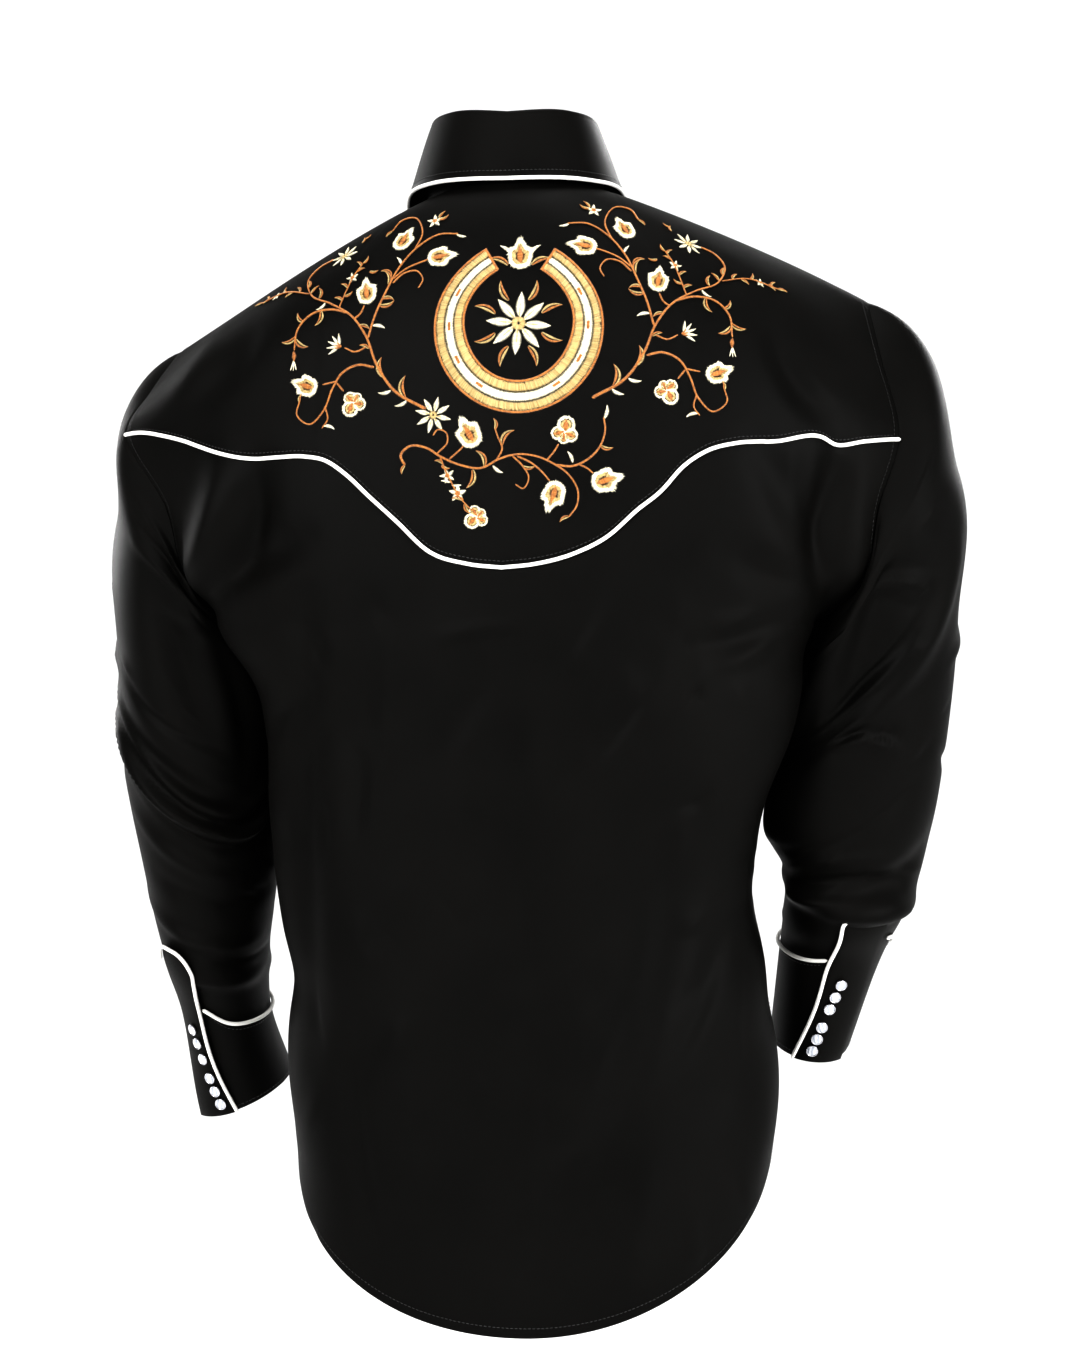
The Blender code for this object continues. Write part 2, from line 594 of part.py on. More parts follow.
# ---------------------------------------------------------------- making the solids
def new_material(name):
    colour, roughness = MATERIALS[name]
    material = bpy.data.materials.new(name)
    material.use_nodes = True
    shader = material.node_tree.nodes["Principled BSDF"]
    shader.inputs["Base Color"].default_value = colour
    shader.inputs["Roughness"].default_value = roughness
    material.diffuse_color = colour
    return material


def finish(shirt, name, mesh, material):
    """Puts a mesh in the shirt's collection under its node's name, shaded smooth."""
    obj = bpy.data.objects.new(name, mesh)
    shirt.objects.link(obj)
    mesh.materials.append(material)
    mesh.shade_smooth()
    mesh.set_sharp_from_angle(angle=math.radians(50))


def wall(shirt, name, material, across, down, place, closed=False):
    """A wall of cloth. A flat grid of across by down squares is extruded into two layers, and
    place(a, b, depth) carries each of its points, with a and b from 0 to 1. A closed wall is a tube,
    where a = 0 and a = 1 are one line and the grid is sewn together.
    """
    builder = bmesh.new()
    bmesh.ops.create_grid(builder, x_segments=across, y_segments=down, size=0.5)
    extruded = bmesh.ops.extrude_face_region(builder, geom=builder.faces[:])
    for piece in extruded["geom"]:
        if isinstance(piece, bmesh.types.BMVert):
            piece.co.z = CLOTH
    if closed:
        ends = [face for face in builder.faces
                if all(abs(vert.co.x - 0.5) < 1e-6 for vert in face.verts)
                or all(abs(vert.co.x + 0.5) < 1e-6 for vert in face.verts)]
        bmesh.ops.delete(builder, geom=ends, context="FACES_ONLY")
    flat = np.array([vert.co[:] for vert in builder.verts])
    carried = place(flat[:, 0] + 0.5, flat[:, 1] + 0.5, flat[:, 2])
    for vert, point in zip(builder.verts, carried):
        vert.co = point
    if closed:
        bmesh.ops.remove_doubles(builder, verts=builder.verts[:], dist=2e-6)
    bmesh.ops.recalc_face_normals(builder, faces=builder.faces[:])
    if builder.calc_volume(signed=True) < 0:
        bmesh.ops.reverse_faces(builder, faces=builder.faces[:])
    mesh = bpy.data.meshes.new(name)
    builder.to_mesh(mesh)
    builder.free()
    finish(shirt, name, mesh, material)


def piping(shirt, name, material, path):
    """A round cord of cloth along a path of points."""
    curve = bpy.data.curves.new(name, "CURVE")
    curve.dimensions = "3D"
    curve.bevel_depth = PIPING_RADIUS
    curve.bevel_resolution = 1
    curve.use_fill_caps = True
    spline = curve.splines.new("POLY")
    spline.points.add(len(path) - 1)
    for point, place in zip(spline.points, path):
        point.co = (*place, 1.0)
    curve.materials.append(material)
    shirt.objects.link(bpy.data.objects.new(name, curve))


def snap(shirt, name, material, seat, normal):
    """A pearl snap: a low round cap with a bevelled rim, standing on seat along normal."""
    builder = bmesh.new()
    bmesh.ops.create_cone(builder, cap_ends=True, segments=10, radius1=SNAP_RADIUS,
                          radius2=SNAP_RADIUS, depth=SNAP_HEIGHT)
    bmesh.ops.translate(builder, verts=builder.verts[:], vec=(0, 0, SNAP_HEIGHT / 2))
    rim = [edge for edge in builder.edges if all(vert.co.z > SNAP_HEIGHT / 2 for vert in edge.verts)]
    bmesh.ops.bevel(builder, geom=rim, offset=0.45 * SNAP_HEIGHT, segments=1, affect="EDGES")
    tall = unit(normal)
    side = unit(np.cross(tall, (0.0, 0.0, 1.0)))
    turned = np.stack([side, np.cross(tall, side), tall], axis=1)
    for vert in builder.verts:
        vert.co = seat + turned @ np.array(vert.co)
    mesh = bpy.data.meshes.new(name)
    builder.to_mesh(mesh)
    builder.free()
    finish(shirt, name, mesh, material)


# ---------------------------------------------------------------- the pieces
def spread_columns(a):
    """a from 0 to 1 becomes across, with a column on each side of the neck."""
    s = (2 * a - 1) * (NECK_COLUMNS + SHOULDER_COLUMNS)
    corner = np.where(s >= 0, neck_corner(LEFT), neck_corner(RIGHT))
    size = np.abs(s)
    inner = corner * size / NECK_COLUMNS
    outer = corner + (1 - EDGE - corner) * (size - NECK_COLUMNS) / SHOULDER_COLUMNS
    return np.sign(s) * np.where(size <= NECK_COLUMNS, inner, outer)


def stepped_level(b, from_step):
    """b from 0 at the hem to 1: levels that stop at each step of the side seam and of the armhole."""
    count = SIDE_STEPS + ARM_STEPS - from_step
    step = b * count
    on_side = 2.0 - step / SIDE_STEPS
    on_arm = 1.0 - (step - SIDE_STEPS) / ARM_STEPS
    return np.where(step <= SIDE_STEPS, on_side, on_arm)


def make_back(shirt, cloth):
    count = 2 * (NECK_COLUMNS + SHOULDER_COLUMNS)

    def yoke(a, b, depth):
        across = spread_columns(a)
        top, bottom = neck_level(across, 1) + SEAM, yoke_level(across) - SEAM
        return body_wall(across, bottom + (top - bottom) * b, depth)

    def lower(a, b, depth):
        across = spread_columns(a)
        top = yoke_level(across) + SEAM
        edge_level = stepped_level(b, YOKE_STEPS)
        level = 2.0 - (2.0 - top) * (2.0 - edge_level) / (2.0 - YOKE_TURN)
        return body_wall(across, level, depth)
    wall(shirt, "back_yoke", cloth, count, 2 * YOKE_STEPS, yoke)
    wall(shirt, "back_body", cloth, count, SIDE_STEPS + ARM_STEPS - YOKE_STEPS, lower)


def make_front(shirt, cloth, name, side):
    corner, free = neck_corner(side), FREE_EDGES[side]
    count = FRONT_COLUMNS + SHOULDER_COLUMNS
    tuck = LIFT if side == RIGHT else 0.0

    def place(a, b, depth):
        column = a * count
        size = np.where(column <= FRONT_COLUMNS, free + (corner - free) * column / FRONT_COLUMNS,
                        corner + (1 - EDGE - corner) * (column - FRONT_COLUMNS) / SHOULDER_COLUMNS)
        top = -neck_level(side * size, -1) + SEAM
        level = 2.0 - (2.0 - top) * (2.0 - stepped_level(b, 0)) / 2.0
        under = tuck * (1 - soft_step(0.08, 0.18, size))
        return body_wall(side * size, -level, depth + under)
    wall(shirt, name, cloth, count, SIDE_STEPS + ARM_STEPS, place)


def make_placket(shirt, cloth):
    half = PLACKET_WIDTH / 2 / (3 * BODY_ROWS[3].reach)

    def place(a, b, depth):
        across = (2 * a - 1) * half
        top = -neck_level(across, -1) + 0.012
        level = 2.0 - (2.0 - top) * (2.0 - stepped_level(b, 0)) / 2.0
        return body_wall(across, -level, depth - LIFT)
    wall(shirt, "front_placket", cloth, 2, SIDE_STEPS + ARM_STEPS, place)


def make_collar(shirt, cloth, white):
    count = 2 * (NECK_COLUMNS + SHOULDER_COLUMNS)
    pitch = 2 * LEAF_END / count

    def stand(a, b, depth):
        turn = np.clip((2 * a - 1) * pitch * (count / 2 + 1), -STAND_ENDS[0], STAND_ENDS[1])
        outwards = collar_ring(turn, 1.0, 1.0, 0.0) - np.array([NECK_OUT, NECK_BACK, 0.0])
        return stand_surface(turn, b) - outwards * depth[..., None]

    def leaf(a, b, depth):
        turn = (2 * a - 1) * LEAF_END
        drop = np.interp(b, (0.0, 3 / 8, 1.0), (0.0, FOLD, 1.0))       # three rows over the fold
        return leaf_surface(turn, drop) - outward(leaf_surface, turn, drop) * depth[..., None]
    wall(shirt, "collar_stand", cloth, count + 2, 2, stand)
    wall(shirt, "collar_leaf", cloth, count, 8, leaf)
    turns = np.linspace(-LEAF_END, LEAF_END, count + 1)
    path = leaf_surface(turns, 1.0 + 0 * turns)
    along = path - leaf_surface(turns, 0.9 + 0 * turns)
    tangent = unit(np.gradient(path, axis=0))
    along = unit(along - tangent * np.sum(along * tangent, axis=-1, keepdims=True))
    piping(shirt, "piping_collar", white, path + along * (PIPING_RADIUS + GAP))


def make_sleeve(shirt, cloth, white, pearl, side, word):
    strip = STRIPS[side]

    def upper(a, b, depth):
        start = sleeve_start(side, 2 * a)
        way = CUFF_WAY - CUFF_SEAM + (start - CUFF_WAY + CUFF_SEAM) * b
        return sleeve_wall(side, 2 * a, way, depth)

    def cuff(a, b, depth):
        return sleeve_wall(side, 2 * a, 1.0 + (CUFF_WAY + CUFF_SEAM - 1.0) * b, depth)

    def strip_wall(a, b, depth):
        way = 1.0 + (strip.top_way - 1.0) * b
        rounding = np.sqrt(1 - np.clip(1 - (way - strip.top_way) / strip.round_way, 0.0, 1.0) ** 2)
        turn = strip_turn(side, way) + (2 * a - 1) * strip_half(side, way, rounding)
        return sleeve_wall(side, turn, way, depth - STRIP_LIFT)
    wall(shirt, f"sleeve_{word}", cloth, 2 * ARM_STEPS, 16, upper, closed=True)
    wall(shirt, f"cuff_{word}", cloth, 2 * ARM_STEPS, 3, cuff, closed=True)
    wall(shirt, f"cuff_strip_{word}", cloth, 4, 16, strip_wall)

    lift = PIPING_RADIUS + GAP
    half = strip_half(side, np.array([CUFF_WAY]), 1.0)[0]
    clear = half + 0.03
    turns = strip_turn(side, CUFF_WAY) + np.linspace(clear, 2 - clear, 22)
    piping(shirt, f"piping_cuff_{word}", white, sleeve_wall(side, turns, CUFF_WAY, -lift - 0.0003))

    angle = np.concatenate([np.linspace(-1.4, math.pi / 2, 9), np.full(9, math.pi / 2)])
    straight = np.concatenate([np.zeros(9), np.linspace(0, 1, 10)[1:]])
    ways = strip.top_way + strip.round_way * (1 - np.cos(angle))
    ways = ways + (1.0 - strip.top_way - strip.round_way) * straight
    turns = strip_turn(side, ways) + np.sign(angle) * strip_half(side, ways, np.abs(np.sin(angle)))
    piping(shirt, f"piping_strip_{word}", white, sleeve_wall(side, turns, ways, -lift - STRIP_LIFT - 2 * GAP))

    for number, way in enumerate(SNAP_WAYS, start=1):
        place = np.array([strip_turn(side, way)]), np.array([way])
        seat = sleeve_wall(side, *place, np.array([-STRIP_LIFT - GAP]))[0]
        proud = sleeve_wall(side, *place, np.array([-STRIP_LIFT - 2 * SNAP_HEIGHT]))[0]
        snap(shirt, f"snap_{word}_{number}", pearl, seat, proud - seat)


def make_yoke_piping(shirt, white):
    across = spread_columns(np.linspace(0.0, 1.0, 2 * (NECK_COLUMNS + SHOULDER_COLUMNS) + 1))
    across = np.clip(across, -1 + 2 * EDGE, 1 - 2 * EDGE)
    piping(shirt, "piping_yoke", white, body_wall(across, yoke_level(across), -(PIPING_RADIUS + 2 * GAP)))


def make_front_snaps(shirt, pearl):
    ends = stand_surface(np.array([LEAF_END, STAND_ENDS[1]]), np.full(2, 0.5))
    middle = ends.mean(axis=0)
    outwards = unit(np.cross(ends[0] - ends[1], (0.0, 0.0, 1.0)))
    snap(shirt, "snap_front_1", pearl, middle + outwards * GAP, outwards)
    for number, level in enumerate(SNAP_LEVELS, start=2):
        place = np.zeros(1), np.array([level])
        seat = body_wall(*place, np.array([-LIFT - GAP]))[0]
        proud = body_wall(*place, np.array([-LIFT - 2 * SNAP_HEIGHT]))[0]
        snap(shirt, f"snap_front_{number}", pearl, seat, proud - seat)


def main():
    for obj in list(bpy.data.objects):
        bpy.data.objects.remove(obj, do_unlink=True)
    shirt = bpy.data.collections.new("western_snap_shirt")
    bpy.context.scene.collection.children.link(shirt)
    cloth, white, pearl = (new_material(name) for name in MATERIALS)
    make_back(shirt, cloth)
    make_front(shirt, cloth, "front_left", LEFT)
    make_front(shirt, cloth, "front_right", RIGHT)
    make_placket(shirt, cloth)
    make_collar(shirt, cloth, white)
    for side, word in ((LEFT, "left"), (RIGHT, "right")):
        make_sleeve(shirt, cloth, white, pearl, side, word)
    make_yoke_piping(shirt, white)
    make_front_snaps(shirt, pearl)


main()
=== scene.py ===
"""Dresses the western snap shirt: cloth, piping, pearl snaps, sewing and the embroidered yoke.

Metres, +Z up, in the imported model's frame: the front faces -Y, the back +Y, the wearer's left is +X.
Each piece is a surface of two numbers worked out from the shirt's own sizes, so it lies where its
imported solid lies, and every solid is stood for by a finer piece.
"""

import logging
import math
from dataclasses import dataclass, field
from enum import Enum
from typing import Callable, NamedTuple, Sequence

import bpy
import numpy as np
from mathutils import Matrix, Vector


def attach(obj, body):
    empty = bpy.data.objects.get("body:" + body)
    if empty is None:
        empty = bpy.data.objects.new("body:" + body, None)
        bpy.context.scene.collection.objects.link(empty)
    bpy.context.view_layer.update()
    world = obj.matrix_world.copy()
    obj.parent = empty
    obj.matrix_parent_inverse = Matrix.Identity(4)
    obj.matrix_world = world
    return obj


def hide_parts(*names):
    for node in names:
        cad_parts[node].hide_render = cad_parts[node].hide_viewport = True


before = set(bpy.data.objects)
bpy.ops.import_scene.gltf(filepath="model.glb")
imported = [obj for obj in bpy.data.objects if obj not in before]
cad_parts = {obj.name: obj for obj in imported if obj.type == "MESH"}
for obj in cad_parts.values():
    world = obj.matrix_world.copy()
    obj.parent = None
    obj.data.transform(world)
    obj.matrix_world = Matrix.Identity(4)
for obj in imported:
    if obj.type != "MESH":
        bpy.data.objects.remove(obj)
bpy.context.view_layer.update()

Array = np.ndarray
Piece = bpy.types.Object
Material = bpy.types.Material
Socket = bpy.types.NodeSocket
Colour = tuple[float, float, float]
Reader = Callable[[Array], Array]
Surface = Callable[[Array, Array], Array]
LEFT, RIGHT = 1, -1
WORDS = {LEFT: "left", RIGHT: "right"}
UP = np.array((0.0, 0.0, 1.0))

# ---------------------------------------------------------------- sizes of the cloth
CLOTH = 0.0012              # one layer of the shirt's cloth
DOUBLED = 0.0015            # placket, collar, cuffs and strips
GAP = 0.0003
LIFT = 0.0022               # outer side of the placket over the front
STRIP_LIFT = 0.0030         # outer side of a cuff's strip over the sleeve
PIPING_RADIUS = 0.0014
EDGE = 0.00002              # how far a body panel stops short of its edge, as a share across
SEAM = 0.0005               # the same, as a share of a level
CUFF_SEAM = 0.0004          # and as a share of a sleeve's way
CUFF_WAY = 0.86             # where the cuff begins on a sleeve's way
PLACKET_WIDTH = 0.036
STRIP_WIDTH = 0.034
ROLLED = 0.0018             # how wide a panel's edge rounds over
CORD_SIDES = 14
STITCH_PITCH, STITCH_LENGTH = 0.0030, 0.0023
STITCH_WIDTH, STITCH_RISE, STITCH_OVER = 0.0005, 0.00022, 0.00015
CUFF_PIPING_OVER = 0.0004
SUNK_TIPS = 0.0001          # how far a thread's ends dip into the cloth
HEM_STITCHES = 1.985        # the level of the hem's stitches
ARM_STITCHES = 0.982        # how far across the stitches beside an armhole lie


# ---------------------------------------------------------------- tables of the pattern
def table(kind: type, as_it_is: int, *rows: Sequence[float]) -> tuple:
    """Records with named columns, from rows of plain numbers.

    Args:
        kind: The record's class.
        as_it_is: The column that is given as it is; all others are in thousandths.
        rows: The numbers, one row for each record.

    Returns:
        The records.
    """
    return tuple(kind(*(number if place == as_it_is else number / 1000 for place, number in enumerate(row)))
                 for row in rows)


class Armhole(NamedTuple):
    """A point of an armhole seam. turn: 0 shoulder tip, 1 armpit by way of the back, 2 the tip again."""
    turn: float
    out: float
    back: float
    up: float


ARM_STEPS, SIDE_STEPS, YOKE_STEPS = 12, 11, 5
NECK_COLUMNS, SHOULDER_COLUMNS, FRONT_COLUMNS = 4, 9, 4
YOKE_TURN = YOKE_STEPS / ARM_STEPS
ARMHOLES = {
    LEFT: table(Armhole, 0,
        (0, 241, -10, -110), (0.22, 259, 20, -141), (YOKE_TURN, 273, 36, -176), (0.6, 244, 46, -222),
        (0.8, 230, 38, -272), (1, 200, -6, -306), (1.2, 222, -50, -276), (1.42, 240, -66, -220),
        (1.62, 249, -56, -168), (1.8, 247, -36, -133),
    ),
    RIGHT: table(Armhole, 0,
        (0, 245, -10, -80), (0.22, 254, 22, -122), (YOKE_TURN, 266, 40, -177), (0.6, 252, 50, -226),
        (0.8, 241, 40, -278), (1, 200, -6, -306), (1.2, 232, -50, -270), (1.42, 252, -66, -208),
        (1.62, 260, -56, -146), (1.8, 254, -36, -104),
    ),
}


class Side(NamedTuple):
    """A point of the side seam. level: 1 at the armpit, 2 at the hem."""
    level: float
    out: float
    back: float
    up: float


SIDE_SEAM = table(Side, 0,
    (1, 200, -6, -306), (1.07, 184, -6, -330), (1.2, 171, -6, -382), (1.4, 163, -4, -462),
    (1.6, 161, -2, -530), (1.8, 168, 0, -592), (2, 164, 0, -650),
)


class Row(NamedTuple):
    """A row across the body: its middle, and the handles that bend it towards its two edges."""
    level: float        # -2 front hem, -1 front armpits, 0 shoulders, 1 back armpits, 2 back hem
    back: float
    up: float
    reach: float
    pull_out: float
    pull_back: float
    follow: float
    right_up: float


BODY_ROWS = table(Row, 0,
    (-2, -114, -750, 98, 12, -84, 580, 0), (-1.7, -119, -620, 104, 16, -84, 560, 0),
    (-1.4, -122, -486, 106, 18, -82, 400, 0), (-1.15, -126, -380, 114, 28, -82, 200, 0),
    (-1, -129, -312, 124, 26, -80, 300, 0), (-0.8, -128, -238, 128, -12, -52, 400, 0),
    (-0.6, -122, -164, 126, -40, -42, 400, 0), (-0.4, -104, -96, 110, -64, -38, 400, 4),
    (-0.2, -62, -30, 60, -80, -22, 440, 7), (0, 4, 10, 30, -90, 4, 460, 8),
    (0.2, 66, -1, 50, -78, 28, 450, 7), (0.4, 101, -64, 110, -64, 44, 400, 4),
    (0.6, 117, -144, 128, -36, 46, 360, 0), (0.8, 123, -226, 130, -6, 54, 400, 0),
    (1, 124, -306, 126, 44, 86, 300, 0), (1.15, 122, -385, 118, 48, 88, 200, 0),
    (1.4, 117, -510, 108, 24, 86, 360, 0), (1.7, 116, -652, 104, 20, 86, 550, 5),
    (2, 113, -788, 98, 14, 84, 600, 14),
)
SWAY_LEVELS = (1.0, 1.03, 1.12, 1.2, 1.3, 1.5, 1.6, 1.7, 1.9, 2.0)
SWAY = (0.0, -0.0003, -0.010, -0.009, -0.001, -0.001, -0.009, -0.009, -0.014, -0.013)


class Seam(NamedTuple):
    """Height of the yoke seam at a distance from the middle of the back, on the left and the right."""
    out: float
    up_left: float
    up_right: float


YOKE_SEAM = table(Seam, -1,
    (0, -269, -269), (23, -266.5, -266.5), (50, -257.5, -259), (71, -238, -248), (91, -220, -230),
    (106, -206, -218), (121, -196, -201.2), (136, -193, -191), (156, -193, -185.2),
    (184, -192.3, -183.2), (213, -183.8, -179.6), (224, -179.8, -183.9), (242, -175, -181.8),
    (258, -172.2, -180), (290, -176, -179),
)


class Ring(NamedTuple):
    """A section of a sleeve: its outermost and innermost points, its depth and its forward tilt."""
    way: float
    outer: float
    outer_up: float
    inner: float
    inner_up: float
    back: float
    half_depth: float
    pitch: float


SLEEVE_RINGS = {
    LEFT: table(Ring, 0,
        (0.16, 289, -230, 194, -342, -16, 58, 4), (0.34, 290, -322, 181, -398, -22, 56, 4),
        (0.5, 289, -395, 180, -450, -32, 56, 6), (0.64, 277, -468, 182, -500, -44, 54, 10),
        (0.77, 264, -533, 188, -548, -60, 52, 14), (CUFF_WAY, 251, -576, 189, -582, -72, 42, 12),
        (1, 244, -656, 177, -632, -98, 43, 12),
    ),
    RIGHT: table(Ring, 0,
        (0.16, 308, -199, 204, -337, -7, 66, 4), (0.34, 308, -300, 188, -388, -22, 56, 4),
        (0.5, 302, -372, 172, -430, -32, 56, 6), (0.56, 298, -402, 171, -450, -37, 56, 8),
        (0.64, 292, -438, 184, -474, -44, 55, 10), (0.77, 275, -500, 184, -512, -60, 54, 14),
        (CUFF_WAY, 256, -538, 182, -530, -72, 44, 12), (1, 231, -608, 174, -600, -98, 42, 12),
    ),
}
CAP_SPREAD = {LEFT: 0.80, RIGHT: 0.84}
CAP_WAY = np.array((0.90, 0.0, 0.42))
LEAD = 0.55


class Fold(NamedTuple):
    """A crease: a bowed line between two points, in metres on the body square on.

    On a sleeve the points are in turns and ways. height > 0 stands out, and skew makes the side on
    the line's left the softer one.
    """
    start_out: float
    start_up: float
    end_out: float
    end_up: float
    bow: float
    width: float
    height: float
    skew: float = 0.0


BACK_FOLDS = table(Fold, 7,
    (-226, -190, -220, -300, 4, 13, -20),           # hollow behind the right arm
    (-176, -88, -222, -172, 6, 12, -6),             # drag on the right shoulder
    (-170, -186, -206, -268, -6, 14, -6), (-156, -262, -212, -280, 4, 12, -5),
    (196, -190, 232, -296, -8, 15, 10),             # V ridge behind the left arm
    (170, -200, 212, -290, -12, 13, -13), (138, -252, 192, -286, 6, 13, -8),
    (137, -290, 134, -610, 4, 11, -5),              # long crease down the left
    (-116, -430, -36, -676, -14, 24, -7),           # great drag line to the tail
    (-128, -520, -52, -690, -10, 26, 6), (-203, -186, -210, -240, 3, 7, -3),
    (-192, -115, -226, -160, 3, 7, 2.2), (-132, -306, -172, -297, 3, 6, 2.6),
    (-143, -336, -182, -314, 3, 6, 3), (-120, -322, -186, -304, 4, 6, -2.2),
    (-126, -349, -135, -357, 1, 3.5, -2.6), (126, -318, 127, -336, 1, 3.5, -2.4),
    (89, -292, 91, -412, 3, 11, -2.4, 0.3), (58, -322, -16, -309, -5, 5, 1.4),
    (6, -344, 48, -416, 4, 7, -1.8, 0.4), (-16, -360, -26, -412, 2, 6, -1.4),
    (-69, -276, -36, -336, -4, 7, -1.7, 0.4), (-101, -338, -58, -402, -4, 8, -2, 0.4),
    (-100, -470, -60, -640, -10, 8, 2.2), (-147, -505, -98, -622, -8, 10, -4.2, 0.3),
    (-118, -430, -142, -420, 2, 5, -3), (140, -352, 168, -388, 4, 7, -3),
    (118, -352, 150, -420, 6, 8, 1.8), (64, -560, 44, -756, 6, 16, 3.6, 0.3),
    (-16, -590, -10, -774, -4, 13, -2.2, 0.3), (108, -590, 84, -742, 4, 12, -3.4, 0.3),
    (-112, -640, -88, -738, 4, 11, 3), (30, -286, 38, -520, 6, 20, 1.6),
    (-46, -288, -52, -470, -6, 18, -1.6),
    (172, -98, 222, -158, -4, 11, -3.4),            # soft drag on the left shoulder
    (205, -104, 240, -150, -3, 9, 2.4),
)
FRONT_FOLDS = table(Fold, 7,
    (-226, -190, -218, -292, 4, 15, -18), (226, -200, 216, -296, -4, 15, -18),
    (-150, -250, -196, -300, 10, 16, -7), (140, -254, 194, -300, -10, 16, -7),
    (106, -360, 86, -700, 10, 20, 8), (-112, -400, -78, -690, -10, 20, 7),
    (140, -460, 118, -690, 6, 16, -6), (188, -318, 104, -372, -8, 8, 3.4, 0.4),
    (180, -340, 96, -410, -6, 9, -3, 0.4), (-186, -316, -98, -366, 8, 8, 3.2, 0.4),
    (-178, -338, -106, -404, 6, 9, -3, 0.4), (66, -160, 82, -330, 8, 14, -2.4, 0.3),
    (-70, -150, -80, -318, -8, 14, -2.4, 0.3), (150, -130, 206, -214, -6, 12, -4),
    (-156, -118, -214, -204, 6, 12, -4), (24, -392, 82, -412, 4, 6, 1.6),
    (-24, -300, -76, -322, -4, 6, 1.6), (26, -474, 70, -462, 3, 6, -1.5),
    (-26, -556, -82, -540, 4, 7, -1.6), (50, -520, 46, -724, 5, 13, -2.8, 0.3),
    (-46, -540, -50, -722, -5, 13, 2.6, 0.3), (-140, -470, -124, -668, -5, 12, -4, 0.3),
    (150, -380, 134, -480, 4, 9, 2.6), (-152, -386, -138, -490, -4, 9, 2.6),
)
TURN_AS_WAY = 0.34          # a turn counts as this much way, so that a crease is as wide both ways
SWAGS = {
    LEFT: table(Fold, 7,
        (100, 440, 860, 500, 55, 26, 7),            # double swag at the elbow
        (100, 390, 860, 440, 55, 24, -5),
        (620, 120, 660, 400, 10, 40, -10),          # hollow behind the armpit
        (1150, 420, 1850, 400, -40, 30, -7), (200, 780, 950, 760, 12, 20, 4),
        (1050, 780, 1800, 790, 10, 22, 5),
    ),
    RIGHT: table(Fold, 7,
        (20, 770, 940, 672, 16, 19, 11.5),          # cloth hanging over the cuff's strip
        (100, 680, 900, 700, 26, 24, -6), (180, 220, 560, 420, 16, 30, 6),
        (620, 100, 680, 400, 10, 40, -12), (1150, 400, 1850, 380, -40, 30, -7),
        (1050, 780, 1800, 790, 12, 22, 6),
    ),
}
FINE_SWAGS = {
    LEFT: table(Fold, 7,
        (810, 50, 500, 60, -8, 11, 3.6),            # drags that fan out of the armpit
        (820, 75, 440, 140, -10, 11, 3.4), (820, 62, 470, 98, -8, 9, -3),
        (830, 105, 520, 215, -10, 10, 2.6),
        (990, -40, 1010, 300, 0, 50, 5),            # fuller inner side, by the body
        (980, 420, 1000, 660, 0, 40, 3.6),
        (900, 110, 1020, 340, 10, 20, 4.6),         # lobe on the inner side
        (840, 140, 790, 410, -10, 14, -4),
        (60, 395, 1020, 300, 150, 11, 4.6),         # first U at the elbow
        (80, 416, 1020, 322, 150, 9, -4.6),
        (60, 440, 1040, 350, 142, 11, 4.8),         # second U
        (100, 466, 1040, 380, 132, 10, -3.6), (220, 352, 700, 368, 30, 10, -2.4),
        (160, 560, 740, 600, 20, 12, 2.4), (300, 640, 920, 610, 20, 12, -2.6),
        (100, 690, 860, 705, 20, 11, 3), (460, 735, 1020, 730, 12, 10, -2.6),
        (1100, 100, 1420, 60, 6, 10, 3.4), (1120, 140, 1520, 120, 8, 10, -3.2),
        (1200, 460, 1860, 440, -50, 11, 4), (1240, 500, 1800, 500, -36, 10, -3.2),
        (1220, 620, 1700, 660, 16, 12, 2.6), (1900, 300, 2100, 360, 6, 12, 2.4),
        (1860, 520, 2120, 500, 10, 11, -2.4),
    ),
    RIGHT: table(Fold, 7,
        (640, 12, 800, 75, 4, 10, -5),              # trough beside the armhole
        (680, 132, 360, 244, -10, 10, -4.2), (670, 150, 380, 262, -10, 8, 3.6),
        (670, 166, 390, 282, -10, 8, -3.2), (390, 290, 720, 338, 12, 10, -4),
        (400, 312, 740, 362, 12, 10, 3),
        (610, 416, 500, 436, 3, 8, -4.2),           # Z fold
        (510, 434, 350, 496, 6, 8, -4.2), (600, 434, 490, 454, 3, 7, 3.4),
        (500, 452, 360, 512, 6, 8, 3.6),
        (940, 702, 200, 752, 16, 12, 5),            # swag over the cuff
        (920, 672, 240, 716, 18, 10, -4), (860, 640, 340, 676, 18, 10, 2.8),
        (280, 560, 840, 600, 24, 12, -2.6),
        (990, -40, 1010, 340, 0, 50, 6),            # fuller inner side, by the body
        (860, 140, 940, 400, 8, 14, 4), (1100, 100, 1420, 60, 6, 10, 3.4),
        (1120, 140, 1520, 120, 8, 10, -3.2), (1200, 430, 1860, 410, -50, 11, 4),
        (1240, 470, 1800, 470, -36, 10, -3.2), (1220, 620, 1720, 650, 16, 12, 2.6),
        (1880, 340, 2120, 400, 6, 12, 2.6), (1840, 560, 2100, 540, 10, 11, -2.4),
    ),
}


class Strip(NamedTuple):
    """The round-topped strip over a cuff, its snaps and the cuff's seam beside it."""
    ways: tuple[float, ...]             # where the strip's middle is given
    turns: tuple[float, ...]            # round the arm, at those ways
    top_way: float
    round_way: float
    snap_ways: tuple[float, ...]
    snap_turns: tuple[float, float]     # of the first and the last snap, nearer the piped edge
    seam_rise: float                    # how far the cuff's seam rises beside the strip
    far_rise: float                     # the same past its other edge
    calm_way: float                     # the folds above have died away here


